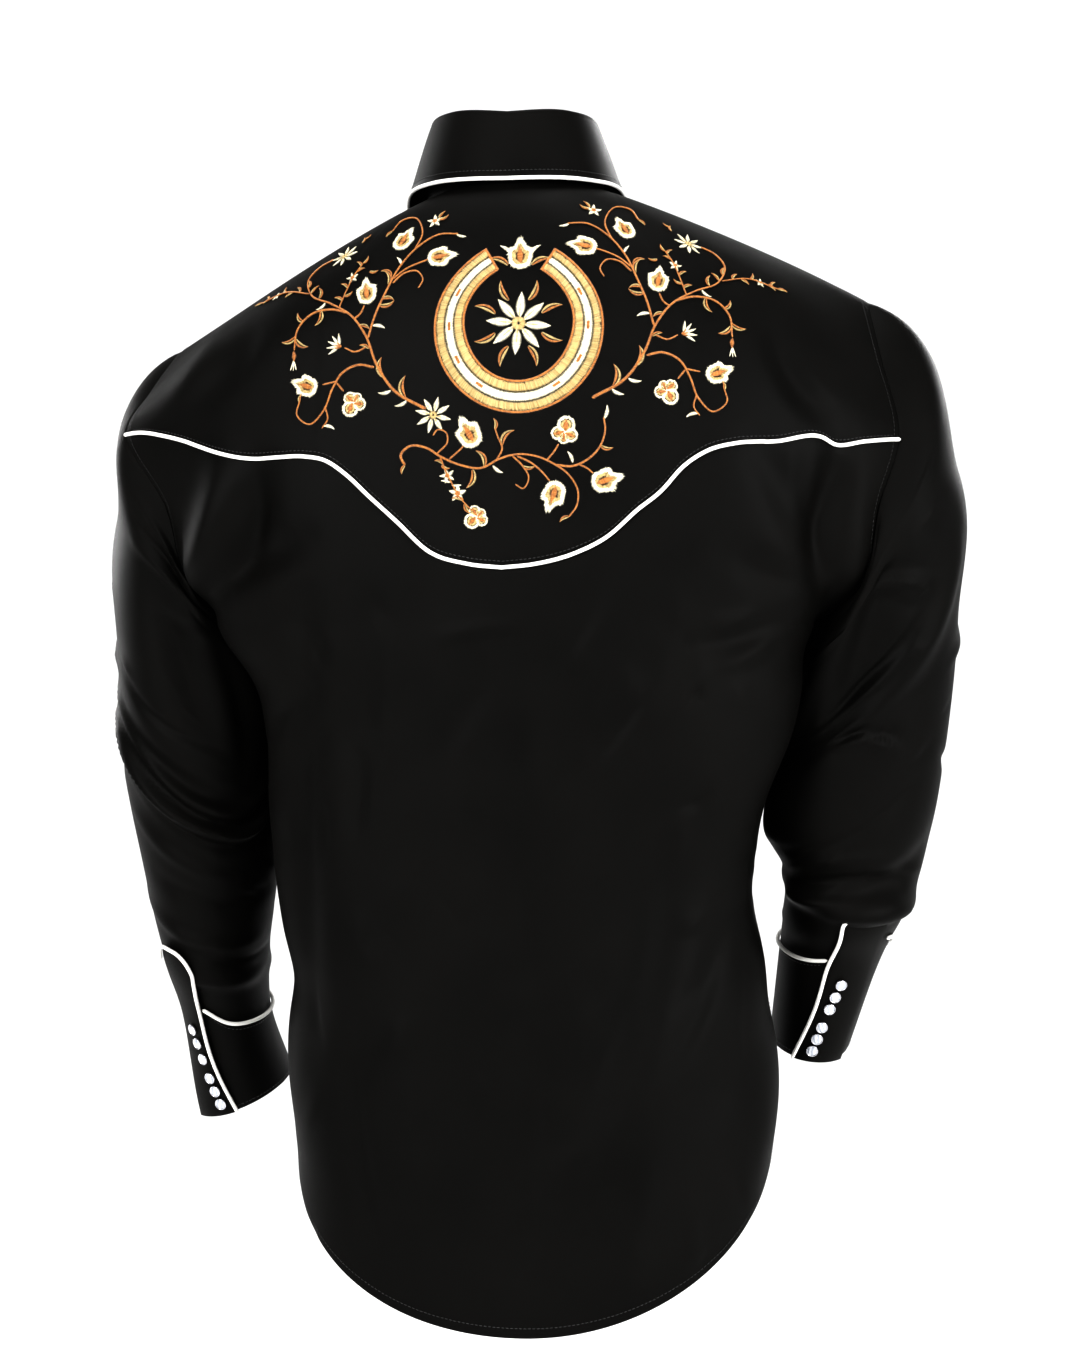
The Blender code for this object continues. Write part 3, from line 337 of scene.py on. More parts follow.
STRIPS = {
    LEFT: Strip((0.77, 0.90, 1.0), (0.325, 0.262, 0.358), 0.742, 0.034,
                (0.877, 0.896, 0.9175, 0.944, 0.963, 0.982), (0.300, 0.419), 0.024, 0.0, 0.808),
    RIGHT: Strip((0.74, 0.80, 0.86, 0.92, 1.0), (0.418, 0.397, 0.377, 0.369, 0.426), 0.738, 0.020,
                 (0.888, 0.907, 0.9245, 0.950, 0.9665, 0.983), (0.416, 0.492), 0.006, 0.048, 0.790),
}
SNAP_LEVELS = (-0.52, -0.76, -1.00, -1.24, -1.48, -1.72)
FREE_EDGES = {LEFT: -0.050, RIGHT: -0.042}


class CollarLine(NamedTuple):
    """The collar's lines. turn: 0 at the middle of the back, 1 at the middle of the front."""
    turn: float
    fold_up: float
    edge_left: float
    edge_right: float
    flare: float


COLLAR_LINES = table(CollarLine, 0,
    (0, 47.5, 0.5, 0.5, 18), (0.25, 50, 0.5, 2, 18), (0.5, 43, -6.5, -2, 19), (0.62, 30, -18, -13, 25),
    (0.75, 13, -48, -43, 39), (0.9, -10, -95, -93, 50), (1, -17, -104, -104, 53),
)


# ---------------------------------------------------------------- curves and fields
def columns(table: Sequence[NamedTuple]) -> list[Array]:
    """The table's columns as arrays, in order."""
    return [np.array(column, float) for column in zip(*table)]


def through(knots: Array, values: Array, at: Array) -> Array:
    """A smooth curve through the values: cubic pieces whose slope at a knot averages its two sides.

    Args:
        knots: Where the values stand, rising.
        values: The values there.
        at: Where to read the curve.

    Returns:
        The curve at those places.
    """
    at = np.clip(np.asarray(at, float), knots[0], knots[-1])
    steps = np.diff(knots)
    rises = np.diff(values) / steps
    inner = (rises[:-1] * steps[1:] + rises[1:] * steps[:-1]) / (steps[1:] + steps[:-1])
    slopes = np.concatenate([rises[:1], inner, rises[-1:]])
    piece = np.clip(np.searchsorted(knots, at, side="right") - 1, 0, len(steps) - 1)
    step = steps[piece]
    t = (at - knots[piece]) / step
    return (values[piece] * (1 + 2 * t) * (1 - t) ** 2 + slopes[piece] * step * t * (1 - t) ** 2
            + values[piece + 1] * t * t * (3 - 2 * t) + slopes[piece + 1] * step * t * t * (t - 1))


def stacked(x: Array, y: Array, z: Array) -> Array:
    """Points from their three coordinates."""
    return np.stack(np.broadcast_arrays(x, y, z), axis=-1)


def soft_step(low: float, high: float, at: Array) -> Array:
    """Rises smoothly from 0 at low to 1 at high."""
    t = np.clip((at - low) / (high - low), 0.0, 1.0)
    return t * t * (3 - 2 * t)


def round_angles(count: int) -> Array:
    """Even angles for one round, without the last, which is the first again."""
    return np.linspace(0.0, 2 * np.pi, count, endpoint=False)


def unit(vectors: Array) -> Array:
    """The vectors at length 1."""
    return vectors / np.maximum(np.linalg.norm(vectors, axis=-1, keepdims=True), 1e-12)


def outward(surface: Surface, a: Array, b: Array, sign: int = 1) -> Array:
    """Unit normal of surface(a, b), from a small step each way.

    Args:
        surface: Gives points for two numbers.
        a: The first number.
        b: The second number.
        sign: Turns the normal round where the surface runs the other way.

    Returns:
        One normal for each pair of numbers.
    """
    step = 1e-4
    along_a = surface(a + step, b) - surface(a - step, b)
    along_b = surface(a, b + step) - surface(a, b - step)
    return unit(np.cross(along_a, along_b) * sign)


def sunk(surface: Surface, a: Array, b: Array, depth: Array | float, sign: int = 1) -> Array:
    """Points of surface(a, b), moved in by a depth against the normal that outward() gives."""
    a, b, depth = np.broadcast_arrays(a, b, depth)
    return surface(a, b) - outward(surface, a, b, sign) * depth[..., None]


def relief(folds: Sequence[Fold], x: Array, y: Array) -> Array:
    """The sum of bowed creases: each fades as a bell across its line, and towards its two ends.

    Args:
        folds: The creases.
        x: The first coordinate of the places.
        y: The second coordinate.

    Returns:
        How far the cloth stands out there.
    """
    total = np.zeros(np.shape(x))
    for fold in folds:
        reach = 3.2 * fold.width + abs(fold.bow)
        low_x, high_x = sorted((fold.start_out, fold.end_out))
        low_y, high_y = sorted((fold.start_up, fold.end_up))
        near = ((x > low_x - reach) & (x < high_x + reach) & (y > low_y - reach) & (y < high_y + reach))
        if not near.any():
            continue
        east, north = x[near] - fold.start_out, y[near] - fold.start_up
        run = np.array((fold.end_out - fold.start_out, fold.end_up - fold.start_up))
        length = np.hypot(*run)
        run = run / length
        along = (east * run[0] + north * run[1]) / length
        t = np.clip(along, 0.0, 1.0)
        aside = north * run[0] - east * run[1] - fold.bow * 4 * t * (1 - t)
        beyond = (along - t) * length
        width = fold.width * (1 + fold.skew * np.tanh(2 * aside / fold.width))
        fade = np.sin(np.pi * (0.12 + 0.76 * t)) ** 1.5
        total[near] += fold.height * fade * np.exp(-(aside ** 2 + beyond ** 2) / width ** 2)
    return total


def small_folds(seed: int, count: int, box: Sequence[float], lean: float, size: float) -> tuple[Fold, ...]:
    """Slight creases strewn over a stretch of cloth, of uneven length, depth and spacing.

    Args:
        seed: Starts the draws, so that each run gives the same creases.
        count: How many.
        box: Lowest and highest first coordinate, then the same of the second.
        lean: Which way they mostly run, in radians from the first coordinate.
        size: The height of a middling crease.

    Returns:
        The creases.
    """
    draw = np.random.default_rng(seed)
    folds = []
    for _ in range(count):
        x, y = draw.uniform(box[0], box[1]), draw.uniform(box[2], box[3])
        turn = lean + draw.normal(0.0, 0.5)
        half = draw.uniform(0.010, 0.032)
        width = draw.uniform(0.004, 0.009)
        height = size * draw.uniform(0.4, 1.4) * draw.choice((-1.0, 1.0))
        folds.append(Fold(x - half * math.cos(turn), y - half * math.sin(turn), x + half * math.cos(turn),
                          y + half * math.sin(turn), draw.normal(0.0, 0.003), width, height, 0.3))
    return tuple(folds)


def halved(low: Array, high: Array, is_before: Reader) -> Array:
    """The value between low and high where is_before(value) turns from true to false."""
    for _ in range(28):
        middle = (low + high) / 2
        before = is_before(middle)
        low = np.where(before, middle, low)
        high = np.where(before, high, middle)
    return (low + high) / 2


def run_along(path: Array) -> Array:
    """How far each point of a path has come from the first."""
    return np.concatenate([[0.0], np.cumsum(np.linalg.norm(np.diff(path, axis=0), axis=-1))])


def smooth_path(points: Sequence[Sequence[float]], pitch: float) -> Array:
    """A smooth flat curve through a few points, read at an even pitch.

    Args:
        points: The curve's own points, two numbers each.
        pitch: The distance between the places read.

    Returns:
        The places, one row each.
    """
    own = np.array(points, float)
    knots = run_along(own)
    at = np.linspace(0.0, knots[-1], max(3, int(knots[-1] / pitch) + 1))
    return np.stack([through(knots, own[:, 0], at), through(knots, own[:, 1], at)], axis=-1)


def even_places(path: Array, pitch: float) -> Array:
    """Where along a path of points, in shares of its index, places at an even pitch lie."""
    runs = run_along(path)
    return np.interp(np.arange(0.0, runs[-1], pitch), runs, np.arange(len(path)))


def read_at(rows: Array, places: Array) -> Array:
    """Rows read between their indexes, in straight lines."""
    low = np.clip(np.floor(places).astype(int), 0, len(rows) - 2)
    share = (places - low)[..., None]
    return rows[low] * (1 - share) + rows[low + 1] * share


def across_path(path: Array) -> Array:
    """Unit steps to the left of a flat path, one for each of its points."""
    run = unit(np.gradient(path, axis=0))
    return np.stack([-run[:, 1], run[:, 0]], axis=-1)


def spin(angle: float) -> Array:
    """The matrix that turns flat points by an angle; its first column is the way the angle points."""
    return np.array(((math.cos(angle), -math.sin(angle)), (math.sin(angle), math.cos(angle))))


# ---------------------------------------------------------------- the body
SMALL_BACK = small_folds(11, 60, (-0.17, 0.17, -0.74, -0.28), -1.35, 0.0013)
SMALL_FRONT = small_folds(12, 60, (-0.18, 0.18, -0.72, -0.14), -1.4, 0.0013)


@dataclass(frozen=True)
class Body:
    """The shirt's trunk, as one surface of across (-1 right edge, 1 left edge) and level."""
    neck_half_width: float = 0.069
    neck_half_depth: float = 0.067
    neck_out: float = 0.0025
    neck_back: float = -0.004
    rows: tuple[Row, ...] = BODY_ROWS
    back_folds: tuple[Fold, ...] = BACK_FOLDS + SMALL_BACK
    front_folds: tuple[Fold, ...] = FRONT_FOLDS + SMALL_FRONT

    def armhole(self, side: int, turn: Array) -> Array:
        """A point of one armhole seam, at any turn round it."""
        turns, out, back, up = columns(ARMHOLES[side])
        spread = np.concatenate([turns - 2, turns, turns + 2])
        place = np.mod(turn, 2.0)
        x, y, z = (through(spread, np.tile(column, 3), place) for column in (out, back, up))
        return stacked(side * x, y, z)

    def edge(self, side: int, level: Array) -> Array:
        """The body's edge: round the armhole to the armpits, and down the side seam below them."""
        levels, out, back, up = columns(SIDE_SEAM)
        low = np.maximum(np.abs(level), 1.0)
        on_side = stacked(side * through(levels, out, low), through(levels, back, low),
                          through(levels, up, low))
        on_arm = self.armhole(side, np.clip(level, -1.0, 1.0))
        return np.where((np.abs(level) < 1.0)[..., None], on_arm, on_side)

    def base(self, across: Array, level: Array) -> Array:
        """The body without folds. Each row is two cubic Bezier curves, from its middle to its edges.

        Args:
            across: -1 at the right edge, 0 in the middle, 1 at the left edge.
            level: -2 at the front's hem, 0 along the shoulders, 2 at the back's hem.

        Returns:
            Points in metres.
        """
        across, level = np.broadcast_arrays(np.asarray(across, float), np.asarray(level, float))
        levels, *shape = columns(self.rows)
        back, up, reach, pull_out, pull_back, follow, right_up = (
            through(levels, column, level) for column in shape)
        sway = through(np.array(SWAY_LEVELS), np.array(SWAY), np.abs(level))
        sway = sway * np.where(level < 0, across ** 2, 1.0)
        t = np.abs(across)[..., None]
        halves = []
        for side in (LEFT, RIGHT):
            edge = self.edge(side, level)
            lifted = right_up if side == RIGHT else 0.0
            second = stacked(edge[..., 0] + side * pull_out, edge[..., 1] + pull_back,
                             edge[..., 2] + follow * (up - edge[..., 2]) + lifted)
            halves.append(stacked(0.0, back, up) * (1 - t) ** 3
                          + 3 * stacked(side * reach, back, up) * t * (1 - t) ** 2
                          + 3 * second * t * t * (1 - t) + edge * t ** 3)
        placed = np.where((across >= 0)[..., None], halves[0], halves[1])
        return placed + stacked(sway, 0.0, 0.0)

    def surface(self, across: Array, level: Array) -> Array:
        """The cloth's outer side: the base moved out along its normal by the creases' relief."""
        across, level = np.broadcast_arrays(np.asarray(across, float), np.asarray(level, float))
        base = self.base(across, level)
        x, z = base[..., 0], base[..., 2]
        height = np.where(level > 0, relief(self.back_folds, x, z), relief(self.front_folds, x, z))
        calm = (1 - soft_step(0.86, 0.99, np.abs(across))) * soft_step(0.02, 0.2, np.abs(level))
        return base + outward(self.base, across, level) * (height * calm)[..., None]

    def wall(self, across: Array, level: Array, depth: Array | float) -> Array:
        """A point of the cloth, depth under its outer side."""
        return sunk(self.surface, across, level, depth)

    def outside_neck(self, point: Array) -> Array:
        """Above 0 outside the neckline's ellipse, seen from above."""
        return (((point[..., 0] - self.neck_out) / self.neck_half_width) ** 2
                + ((point[..., 1] - self.neck_back) / self.neck_half_depth) ** 2) - 1.0

    def neck_level(self, across: Array, way: int) -> Array:
        """The level where each column meets the neckline, way being 1 behind and -1 in front."""
        starts_inside = self.outside_neck(self.base(across, 0.0 * across)) < 0
        found = halved(np.zeros(np.shape(across)), np.full(np.shape(across), 0.6),
                       lambda level: self.outside_neck(self.base(across, way * level)) < 0)
        return way * np.where(starts_inside, found, 0.0)

    def neck_corner(self, side: int) -> float:
        """How far across, along the shoulder, the neckline starts."""
        return float(halved(np.zeros(1), np.ones(1), lambda across: self.outside_neck(
            self.base(side * across, 0.0 * across)) < 0)[0])

    def yoke_level(self, across: Array) -> Array:
        """The level where each column of the back meets the yoke seam."""
        outs, up_left, up_right = columns(YOKE_SEAM)

        def above(level: Array) -> Array:
            """Whether the column at this level is still above the seam."""
            point = self.base(across, level)
            out = np.abs(point[..., 0])
            seam = np.where(point[..., 0] >= 0, through(outs, up_left, out), through(outs, up_right, out))
            return point[..., 2] > seam
        return halved(np.full(np.shape(across), 0.1), np.full(np.shape(across), 1.1), above)

    def spread(self, a: Array) -> Array:
        """a from 0 to 1 becomes across, with a column on each side of the neck."""
        s = (2 * a - 1) * (NECK_COLUMNS + SHOULDER_COLUMNS)
        corner = np.where(s >= 0, self.neck_corner(LEFT), self.neck_corner(RIGHT))
        size = np.abs(s)
        inner = corner * size / NECK_COLUMNS
        outer = corner + (1 - EDGE - corner) * (size - NECK_COLUMNS) / SHOULDER_COLUMNS
        return np.sign(s) * np.where(size <= NECK_COLUMNS, inner, outer)

    def neckline_up(self, turn: Array) -> Array:
        """Height of the neckline at a turn round the neck."""
        across = np.linspace(-self.neck_corner(RIGHT), self.neck_corner(LEFT), 61)
        points = np.concatenate([self.base(across, self.neck_level(across, way)) for way in (1, -1)])
        turns = np.arctan2((points[:, 0] - self.neck_out) / self.neck_half_width,
                           (points[:, 1] - self.neck_back) / self.neck_half_depth) / np.pi
        order = np.argsort(turns)
        return np.interp((np.asarray(turn) + 1) % 2 - 1, turns[order], points[order, 2], period=2)

    def locate(self, x: Array, z: Array) -> tuple[Array, Array]:
        """Finds the back's cloth seen square on, by Newton's steps on the outer side.

        Args:
            x: Sideways place, in metres.
            z: Height.

        Returns:
            across and level.
        """
        across, level = x / 0.27, (0.03 - z) / 0.34
        step = 1e-4
        for _ in range(9):
            here = self.base(across, level)
            by_across = (self.base(across + step, level) - here) / step
            by_level = (self.base(across, level + step) - here) / step
            short_x, short_z = x - here[..., 0], z - here[..., 2]
            scale = by_across[..., 0] * by_level[..., 2] - by_level[..., 0] * by_across[..., 2]
            move_a = (short_x * by_level[..., 2] - short_z * by_level[..., 0]) / scale
            move_l = (short_z * by_across[..., 0] - short_x * by_across[..., 2]) / scale
            across = np.clip(across + np.clip(move_a, -0.1, 0.1), -0.97, 0.97)
            level = np.clip(level + np.clip(move_l, -0.1, 0.1), 0.04, 1.2)
        return across, level


def panel_levels(top: Array, count: int, steps_above: int = 0) -> Array:
    """Levels of a panel's rows, from the hem up to each column's own top.

    Args:
        top: The level where each column ends.
        count: Of rows.
        steps_above: How many of the armhole's steps lie above the panel.

    Returns:
        Levels, rows by columns. At the panel's edge they keep step with the side seam and the armhole.
    """
    step = np.linspace(0.0, 1.0, count)[:, None] * (SIDE_STEPS + ARM_STEPS - steps_above)
    edge = np.where(step <= SIDE_STEPS, 2.0 - step / SIDE_STEPS, 1.0 - (step - SIDE_STEPS) / ARM_STEPS)
    return 2.0 - (2.0 - top) * (2.0 - edge) / (2.0 - steps_above / ARM_STEPS)


# ---------------------------------------------------------------- the sleeves
SMALL_SWAGS = {side: small_folds(20 + side, 44, (0.0, 2 * TURN_AS_WAY, 0.06, 0.74), 0.2, 0.0010)
               for side in (LEFT, RIGHT)}


@dataclass(frozen=True)
class Sleeve:
    """One sleeve, as a surface of turn (0 outermost, 0.5 behind, 1 inmost, 1.5 in front) and way."""
    side: int
    body: Body

    def base(self, turn: Array, way: Array) -> Array:
        """The sleeve without folds: the armhole seam, drawn by cubics through the sections to the hem.

        Args:
            turn: Round the arm, 2 for a whole round.
            way: 0 at the armhole, 1 at the cuff's hem.

        Returns:
            Points in metres.
        """
        turn, way = np.broadcast_arrays(np.asarray(turn, float), np.asarray(way, float))
        angle = turn * np.pi
        rings = SLEEVE_RINGS[self.side]
        sections = [self.body.armhole(self.side, turn)]
        for ring in rings:
            round_arm = angle - LEAD * max(0.0, 1 - ring.way / 0.5) * np.sin(angle)
            across, rise = (ring.outer - ring.inner) / 2, (ring.outer_up - ring.inner_up) / 2
            sections.append(stacked(self.side * (ring.inner + across + across * np.cos(round_arm)),
                                    ring.back + ring.half_depth * np.sin(round_arm),
                                    ring.inner_up + rise + rise * np.cos(round_arm)
                                    - ring.pitch * np.sin(round_arm)))
        knots = np.array([0.0] + [ring.way for ring in rings])
        steps = np.diff(knots)
        rises = [(after - before) / step for before, after, step in zip(sections, sections[1:], steps)]
        cap = CAP_SPREAD[self.side] * np.maximum(np.cos(angle), 0.0)[..., None]
        slopes = [rises[0] + cap * CAP_WAY * np.array((self.side, 1, 1))]
        for before, after, step, next_step in zip(rises, rises[1:], steps, steps[1:]):
            slopes.append((before * next_step + after * step) / (step + next_step))
        slopes.append(rises[-1])
        total = np.zeros(turn.shape + (3,))
        for number, step in enumerate(steps):
            first, last = number == 0, number == len(steps) - 1
            here = ((way >= knots[number]) | first) & ((way < knots[number + 1]) | last)
            t = ((way - knots[number]) / step)[..., None]
            piece = (sections[number] * (1 + 2 * t) * (1 - t) ** 2
                     + slopes[number] * step * t * (1 - t) ** 2
                     + sections[number + 1] * t * t * (3 - 2 * t)
                     + slopes[number + 1] * step * t * t * (t - 1))
            total = np.where(here[..., None], piece, total)
        return total

    def folded(self, folds: Sequence[Fold], turn: Array, way: Array) -> Array:
        """The relief of creases given in turns and ways, also where they cross turn 0."""
        scaled = [fold._replace(start_out=fold.start_out * TURN_AS_WAY, end_out=fold.end_out * TURN_AS_WAY)
                  for fold in folds]
        round_arm = np.mod(turn, 2.0) * TURN_AS_WAY
        return sum(relief(scaled, round_arm + lap * TURN_AS_WAY, way) for lap in (-2, 0, 2))

    def surface(self, turn: Array, way: Array) -> Array:
        """The cloth's outer side: large folds calm at both ends, fine ones right up to the armhole."""
        turn, way = np.broadcast_arrays(np.asarray(turn, float), np.asarray(way, float))
        calm_way = STRIPS[self.side].calm_way
        at_cuff = 1 - soft_step(calm_way - 0.028, calm_way, way)
        height = self.folded(SWAGS[self.side], turn, way) * soft_step(0.0, 0.12, way)
        height = height + self.folded(FINE_SWAGS[self.side], turn, way) * soft_step(0.0, 0.04, way)
        round_arm = np.mod(turn, 2.0) * TURN_AS_WAY
        height = height + relief(SMALL_SWAGS[self.side], round_arm, way) * soft_step(0.0, 0.04, way)
        normal = outward(self.base, turn, way, -self.side)
        return self.base(turn, way) + normal * (height * at_cuff)[..., None]

    def wall(self, turn: Array, way: Array, depth: Array | float) -> Array:
        """A point of the cloth, depth under its outer side."""
        return sunk(self.surface, turn, way, depth, -self.side)

    def plain_wall(self, turn: Array, way: Array, depth: Array | float) -> Array:
        """The same of the cloth without folds, for what a fold may hang over."""
        return sunk(self.base, turn, way, depth, -self.side)

    def start(self, turn: Array) -> Array:
        """The way that leaves a seam's clearance beside the armhole."""
        speed = np.linalg.norm(self.base(turn, 0.01) - self.base(turn, 0.0), axis=-1) / 0.01
        return 0.00005 / speed

    def strip_turn(self, way: Array) -> Array:
        """Where the middle of the cuff's strip lies round the arm."""
        strip = STRIPS[self.side]
        return through(np.array(strip.ways), np.array(strip.turns), way)

    def cuff_seam(self, turn: Array) -> Array:
        """The way of the cuff's seam, which rises on each side of the strip."""
        strip = STRIPS[self.side]
        past = np.mod(turn - self.strip_turn(CUFF_WAY) + 1.0, 2.0) - 1.0
        rise = strip.seam_rise * np.exp(-((past - 0.14) / 0.13) ** 2)
        return CUFF_WAY - rise - strip.far_rise * np.exp(-((past + 0.16) / 0.22) ** 2)

    def strip_half(self, way: Array, rounding: Array | float) -> Array:
        """Half the strip's width in turns; rounding is 0 at the top's flat end and 1 past the round."""
        middle = self.strip_turn(way)
        for_a_turn = np.linalg.norm(self.base(middle + 0.02, way) - self.base(middle - 0.02, way),
                                    axis=-1) / 0.04
        return (0.25 + 0.75 * rounding) * STRIP_WIDTH / 2 / for_a_turn


# ---------------------------------------------------------------- meshes
def in_scene(name: str, data: bpy.types.ID) -> Piece:
    """A new object, linked to the scene."""
    made = bpy.data.objects.new(name, data)
    bpy.context.scene.collection.objects.link(made)
    return made


def new_piece(name: str, points: Array, faces: Sequence[Array], finishes: Sequence[Material],
              uv: Array | None = None, finish_index: Array | None = None) -> Piece:
    """Makes an object at the origin from whole arrays.

    Args:
        name: The piece's name.
        points: Its points, one row each.
        faces: Arrays of faces, each array with as many corners in every row.
        finishes: Its materials.
        uv: Two numbers for each point, if a pattern follows the surface.
        finish_index: Which material each face takes, where there are several.

    Returns:
        The object.
    """
    corners = np.concatenate([array.ravel() for array in faces]).astype(np.int32)
    counts = np.concatenate([np.full(len(array), array.shape[1]) for array in faces])
    starts = np.concatenate([[0], np.cumsum(counts)[:-1]]).astype(np.int32)
    mesh = bpy.data.meshes.new(name)
    mesh.vertices.add(len(points))
    mesh.vertices.foreach_set("co", np.ascontiguousarray(points, np.float32).ravel())
    mesh.loops.add(len(corners))
    mesh.loops.foreach_set("vertex_index", corners)
    mesh.polygons.add(len(starts))
    mesh.polygons.foreach_set("loop_start", starts)
    if finish_index is not None:
        mesh.polygons.foreach_set("material_index", finish_index.astype(np.int32))
    mesh.update(calc_edges=True)
    if uv is not None:
        layer = mesh.uv_layers.new(name="cloth")
        layer.data.foreach_set("uv", uv[corners].astype(np.float32).ravel())
    for finish in finishes:
        mesh.materials.append(finish)
    mesh.shade_smooth()
    return in_scene(name, mesh)


def squares(before: Array, after: Array) -> Array:
    """Faces between neighbouring rows of point numbers, from each column to the one after it."""
    return np.stack([before[:-1], after[:-1], after[1:], before[1:]], axis=-1).reshape(-1, 4)


def run_lengths(points: Array, axis: int) -> Array:
    """How far each grid line has come along, in metres, on average over the other axis."""
    steps = np.linalg.norm(np.diff(points, axis=axis), axis=-1).mean(axis=1 - axis)
    return np.concatenate([[0.0], np.cumsum(steps)])


def shell(name: str, outer: Array, thickness: float, sign: int, finish: Material,
          closed: bool = False) -> Piece:
    """A thin closed wall of cloth: a grid of points, the same grid set in, and a rim between them.

    Near its free sides the wall rounds over: the outer layer sinks and the inner one rises as a bell
    of the distance to the edge.

    Args:
        name: The piece's name.
        outer: Points of the outer side, rows by columns by three.
        thickness: Of the wall.
        sign: 1 where columns cross rows points outwards, else -1.
        finish: Its material.
        closed: Whether the last column is the first again.

    Returns:
        The object.
    """
    v, u = run_lengths(outer, 0), run_lengths(outer, 1)
    if closed:
        outer = outer[:, :-1]
        along = np.roll(outer, -1, axis=1) - np.roll(outer, 1, axis=1)
    else:
        along = np.gradient(outer, axis=1)
    rows, cols = outer.shape[:2]
    normal = unit(np.cross(along, np.gradient(outer, axis=0)) * sign)
    to_edge = np.minimum(v, v[-1] - v)[:, None] + np.zeros(cols)
    if not closed:
        to_edge = np.minimum(to_edge, np.minimum(u, u[-1] - u)[None])
    bell = np.exp(-(to_edge / ROLLED) ** 2)[..., None]
    top = outer - normal * thickness * 0.28 * bell
    under = outer - normal * thickness * (1 - 0.32 * bell)
    index = np.arange(rows * cols).reshape(rows, cols)
    after = np.roll(index, -1, axis=1) if closed else index[:, 1:]
    before = index if closed else index[:, :-1]
    faces = squares(before, after)[:, ::sign]
    size = rows * cols
    rims = []
    for row, turned in ((0, 1), (-1, -1)):
        rim = np.stack([before[row], before[row] + size, after[row] + size, after[row]], axis=-1)
        rims.append(rim[:, ::turned * sign])
    if not closed:
        for column, turned in ((0, -1), (-1, 1)):
            edge = index[:, column]
            rim = np.stack([edge[:-1], edge[:-1] + size, edge[1:] + size, edge[1:]], axis=-1)
            rims.append(rim[:, ::turned * sign])
    points = np.concatenate([top.reshape(-1, 3), under.reshape(-1, 3)])
    flat = np.stack(np.meshgrid(u[:cols], v), axis=-1).reshape(-1, 2)
    piece = new_piece(name, points, [faces, faces[:, ::-1] + size, *rims], [finish],
                      np.concatenate([flat, flat + (0.0, 0.5)]))
    piece.data.set_sharp_from_angle(angle=math.radians(62))
    return piece


def tube(name: str, path: Array, ups: Array, radius: float, finish: Material) -> Piece:
    """A round cord along a path. Each ring is the circle across the path, and the ends round off.

    Args:
        name: The piece's name.
        path: Points along the cord.
        ups: A direction across the path at each point.
        radius: Of the cord.
        finish: Its material.

    Returns:
        The object.
    """
    tangent = unit(np.gradient(path, axis=0))
    first = unit(ups - tangent * np.sum(ups * tangent, axis=-1, keepdims=True))
    second = np.cross(tangent, first)
    runs = run_along(path)
    to_end = np.minimum(runs, runs[-1] - runs)
    swell = np.sqrt(1 - np.clip(1 - to_end / radius, 0.0, 0.92) ** 2)[:, None, None]
    angle = round_angles(CORD_SIDES)[None, :, None]
    circle = first[:, None] * np.cos(angle) + second[:, None] * np.sin(angle)
    rings = path[:, None] + radius * swell * circle
    count = len(path)
    index = np.arange(count * CORD_SIDES).reshape(count, CORD_SIDES)
    quads = squares(index, np.roll(index, -1, axis=1))
    caps = [index[0][None, ::-1], index[-1][None]]
    uv = np.stack(np.broadcast_arrays(runs[:, None], angle[..., 0] * radius), axis=-1).reshape(-1, 2)
    return new_piece(name, rings.reshape(-1, 3), [quads, *caps], [finish], uv)


def threads(name: str, paths: Array, ups: Array, width: float, rise: float, finish: Material,
            seed: int) -> Piece:
    """Many short threads in one mesh. Each is a three-sided strand that dips into the cloth at its ends.

    Args:
        name: The piece's name.
        paths: Threads by stations by three: where each thread runs.
        ups: The cloth's normal there.
        width: Of a thread.
        rise: How far its middle stands over the cloth.
        finish: Its material.
        seed: Starts the draw of each thread's shade.

    Returns:
        The object.
    """
    count, stations = paths.shape[:2]
    along = unit(np.gradient(paths, axis=1))
    aside = unit(np.cross(ups, along))
    t = np.linspace(0.0, 1.0, stations)[None, :, None]
    crown = paths + ups * (rise * np.sqrt(np.clip(4 * t * (1 - t), 0.0, 1.0)) - SUNK_TIPS)
    middle = slice(1, stations - 1)
    left = crown[:, middle] + aside[:, middle] * width / 2
    right = crown[:, middle] - aside[:, middle] * width / 2
    top = crown[:, middle] + ups[:, middle] * width * 0.42
    body = np.stack([left, top, right], axis=2).reshape(count, -1, 3)
    points = np.concatenate([crown[:, :1], body, crown[:, -1:]], axis=1)
    size = points.shape[1]
    a, b, c = (np.arange(first, size - 1, 3) for first in (1, 2, 3))
    sides = ((a, b), (b, c), (c, a))
    quads = np.concatenate([squares(p, q) for p, q in sides])
    tips = np.array([(0, q[0], p[0]) for p, q in sides] + [(p[-1], q[-1], size - 1) for p, q in sides])
    starts = (np.arange(count) * size)[:, None, None]
    faces = [(tips + starts).reshape(-1, 3), (quads + starts).reshape(-1, 4)]
    along_thread = np.concatenate([[0.0], np.repeat(np.linspace(0, 1, stations)[1:-1], 3), [1.0]])
    round_thread = np.concatenate([[0.5], np.tile((0.0, 0.5, 1.0), stations - 2), [0.5]])
    uv = np.tile(np.stack([along_thread, round_thread], axis=-1), (count, 1))
    piece = new_piece(name, points.reshape(-1, 3), faces, [finish], uv)
    shade = np.repeat(np.random.default_rng(seed).uniform(0.0, 1.0, count), size)
    piece.data.attributes.new("shade", "FLOAT", "POINT").data.foreach_set("value", shade.astype(np.float32))
    return piece


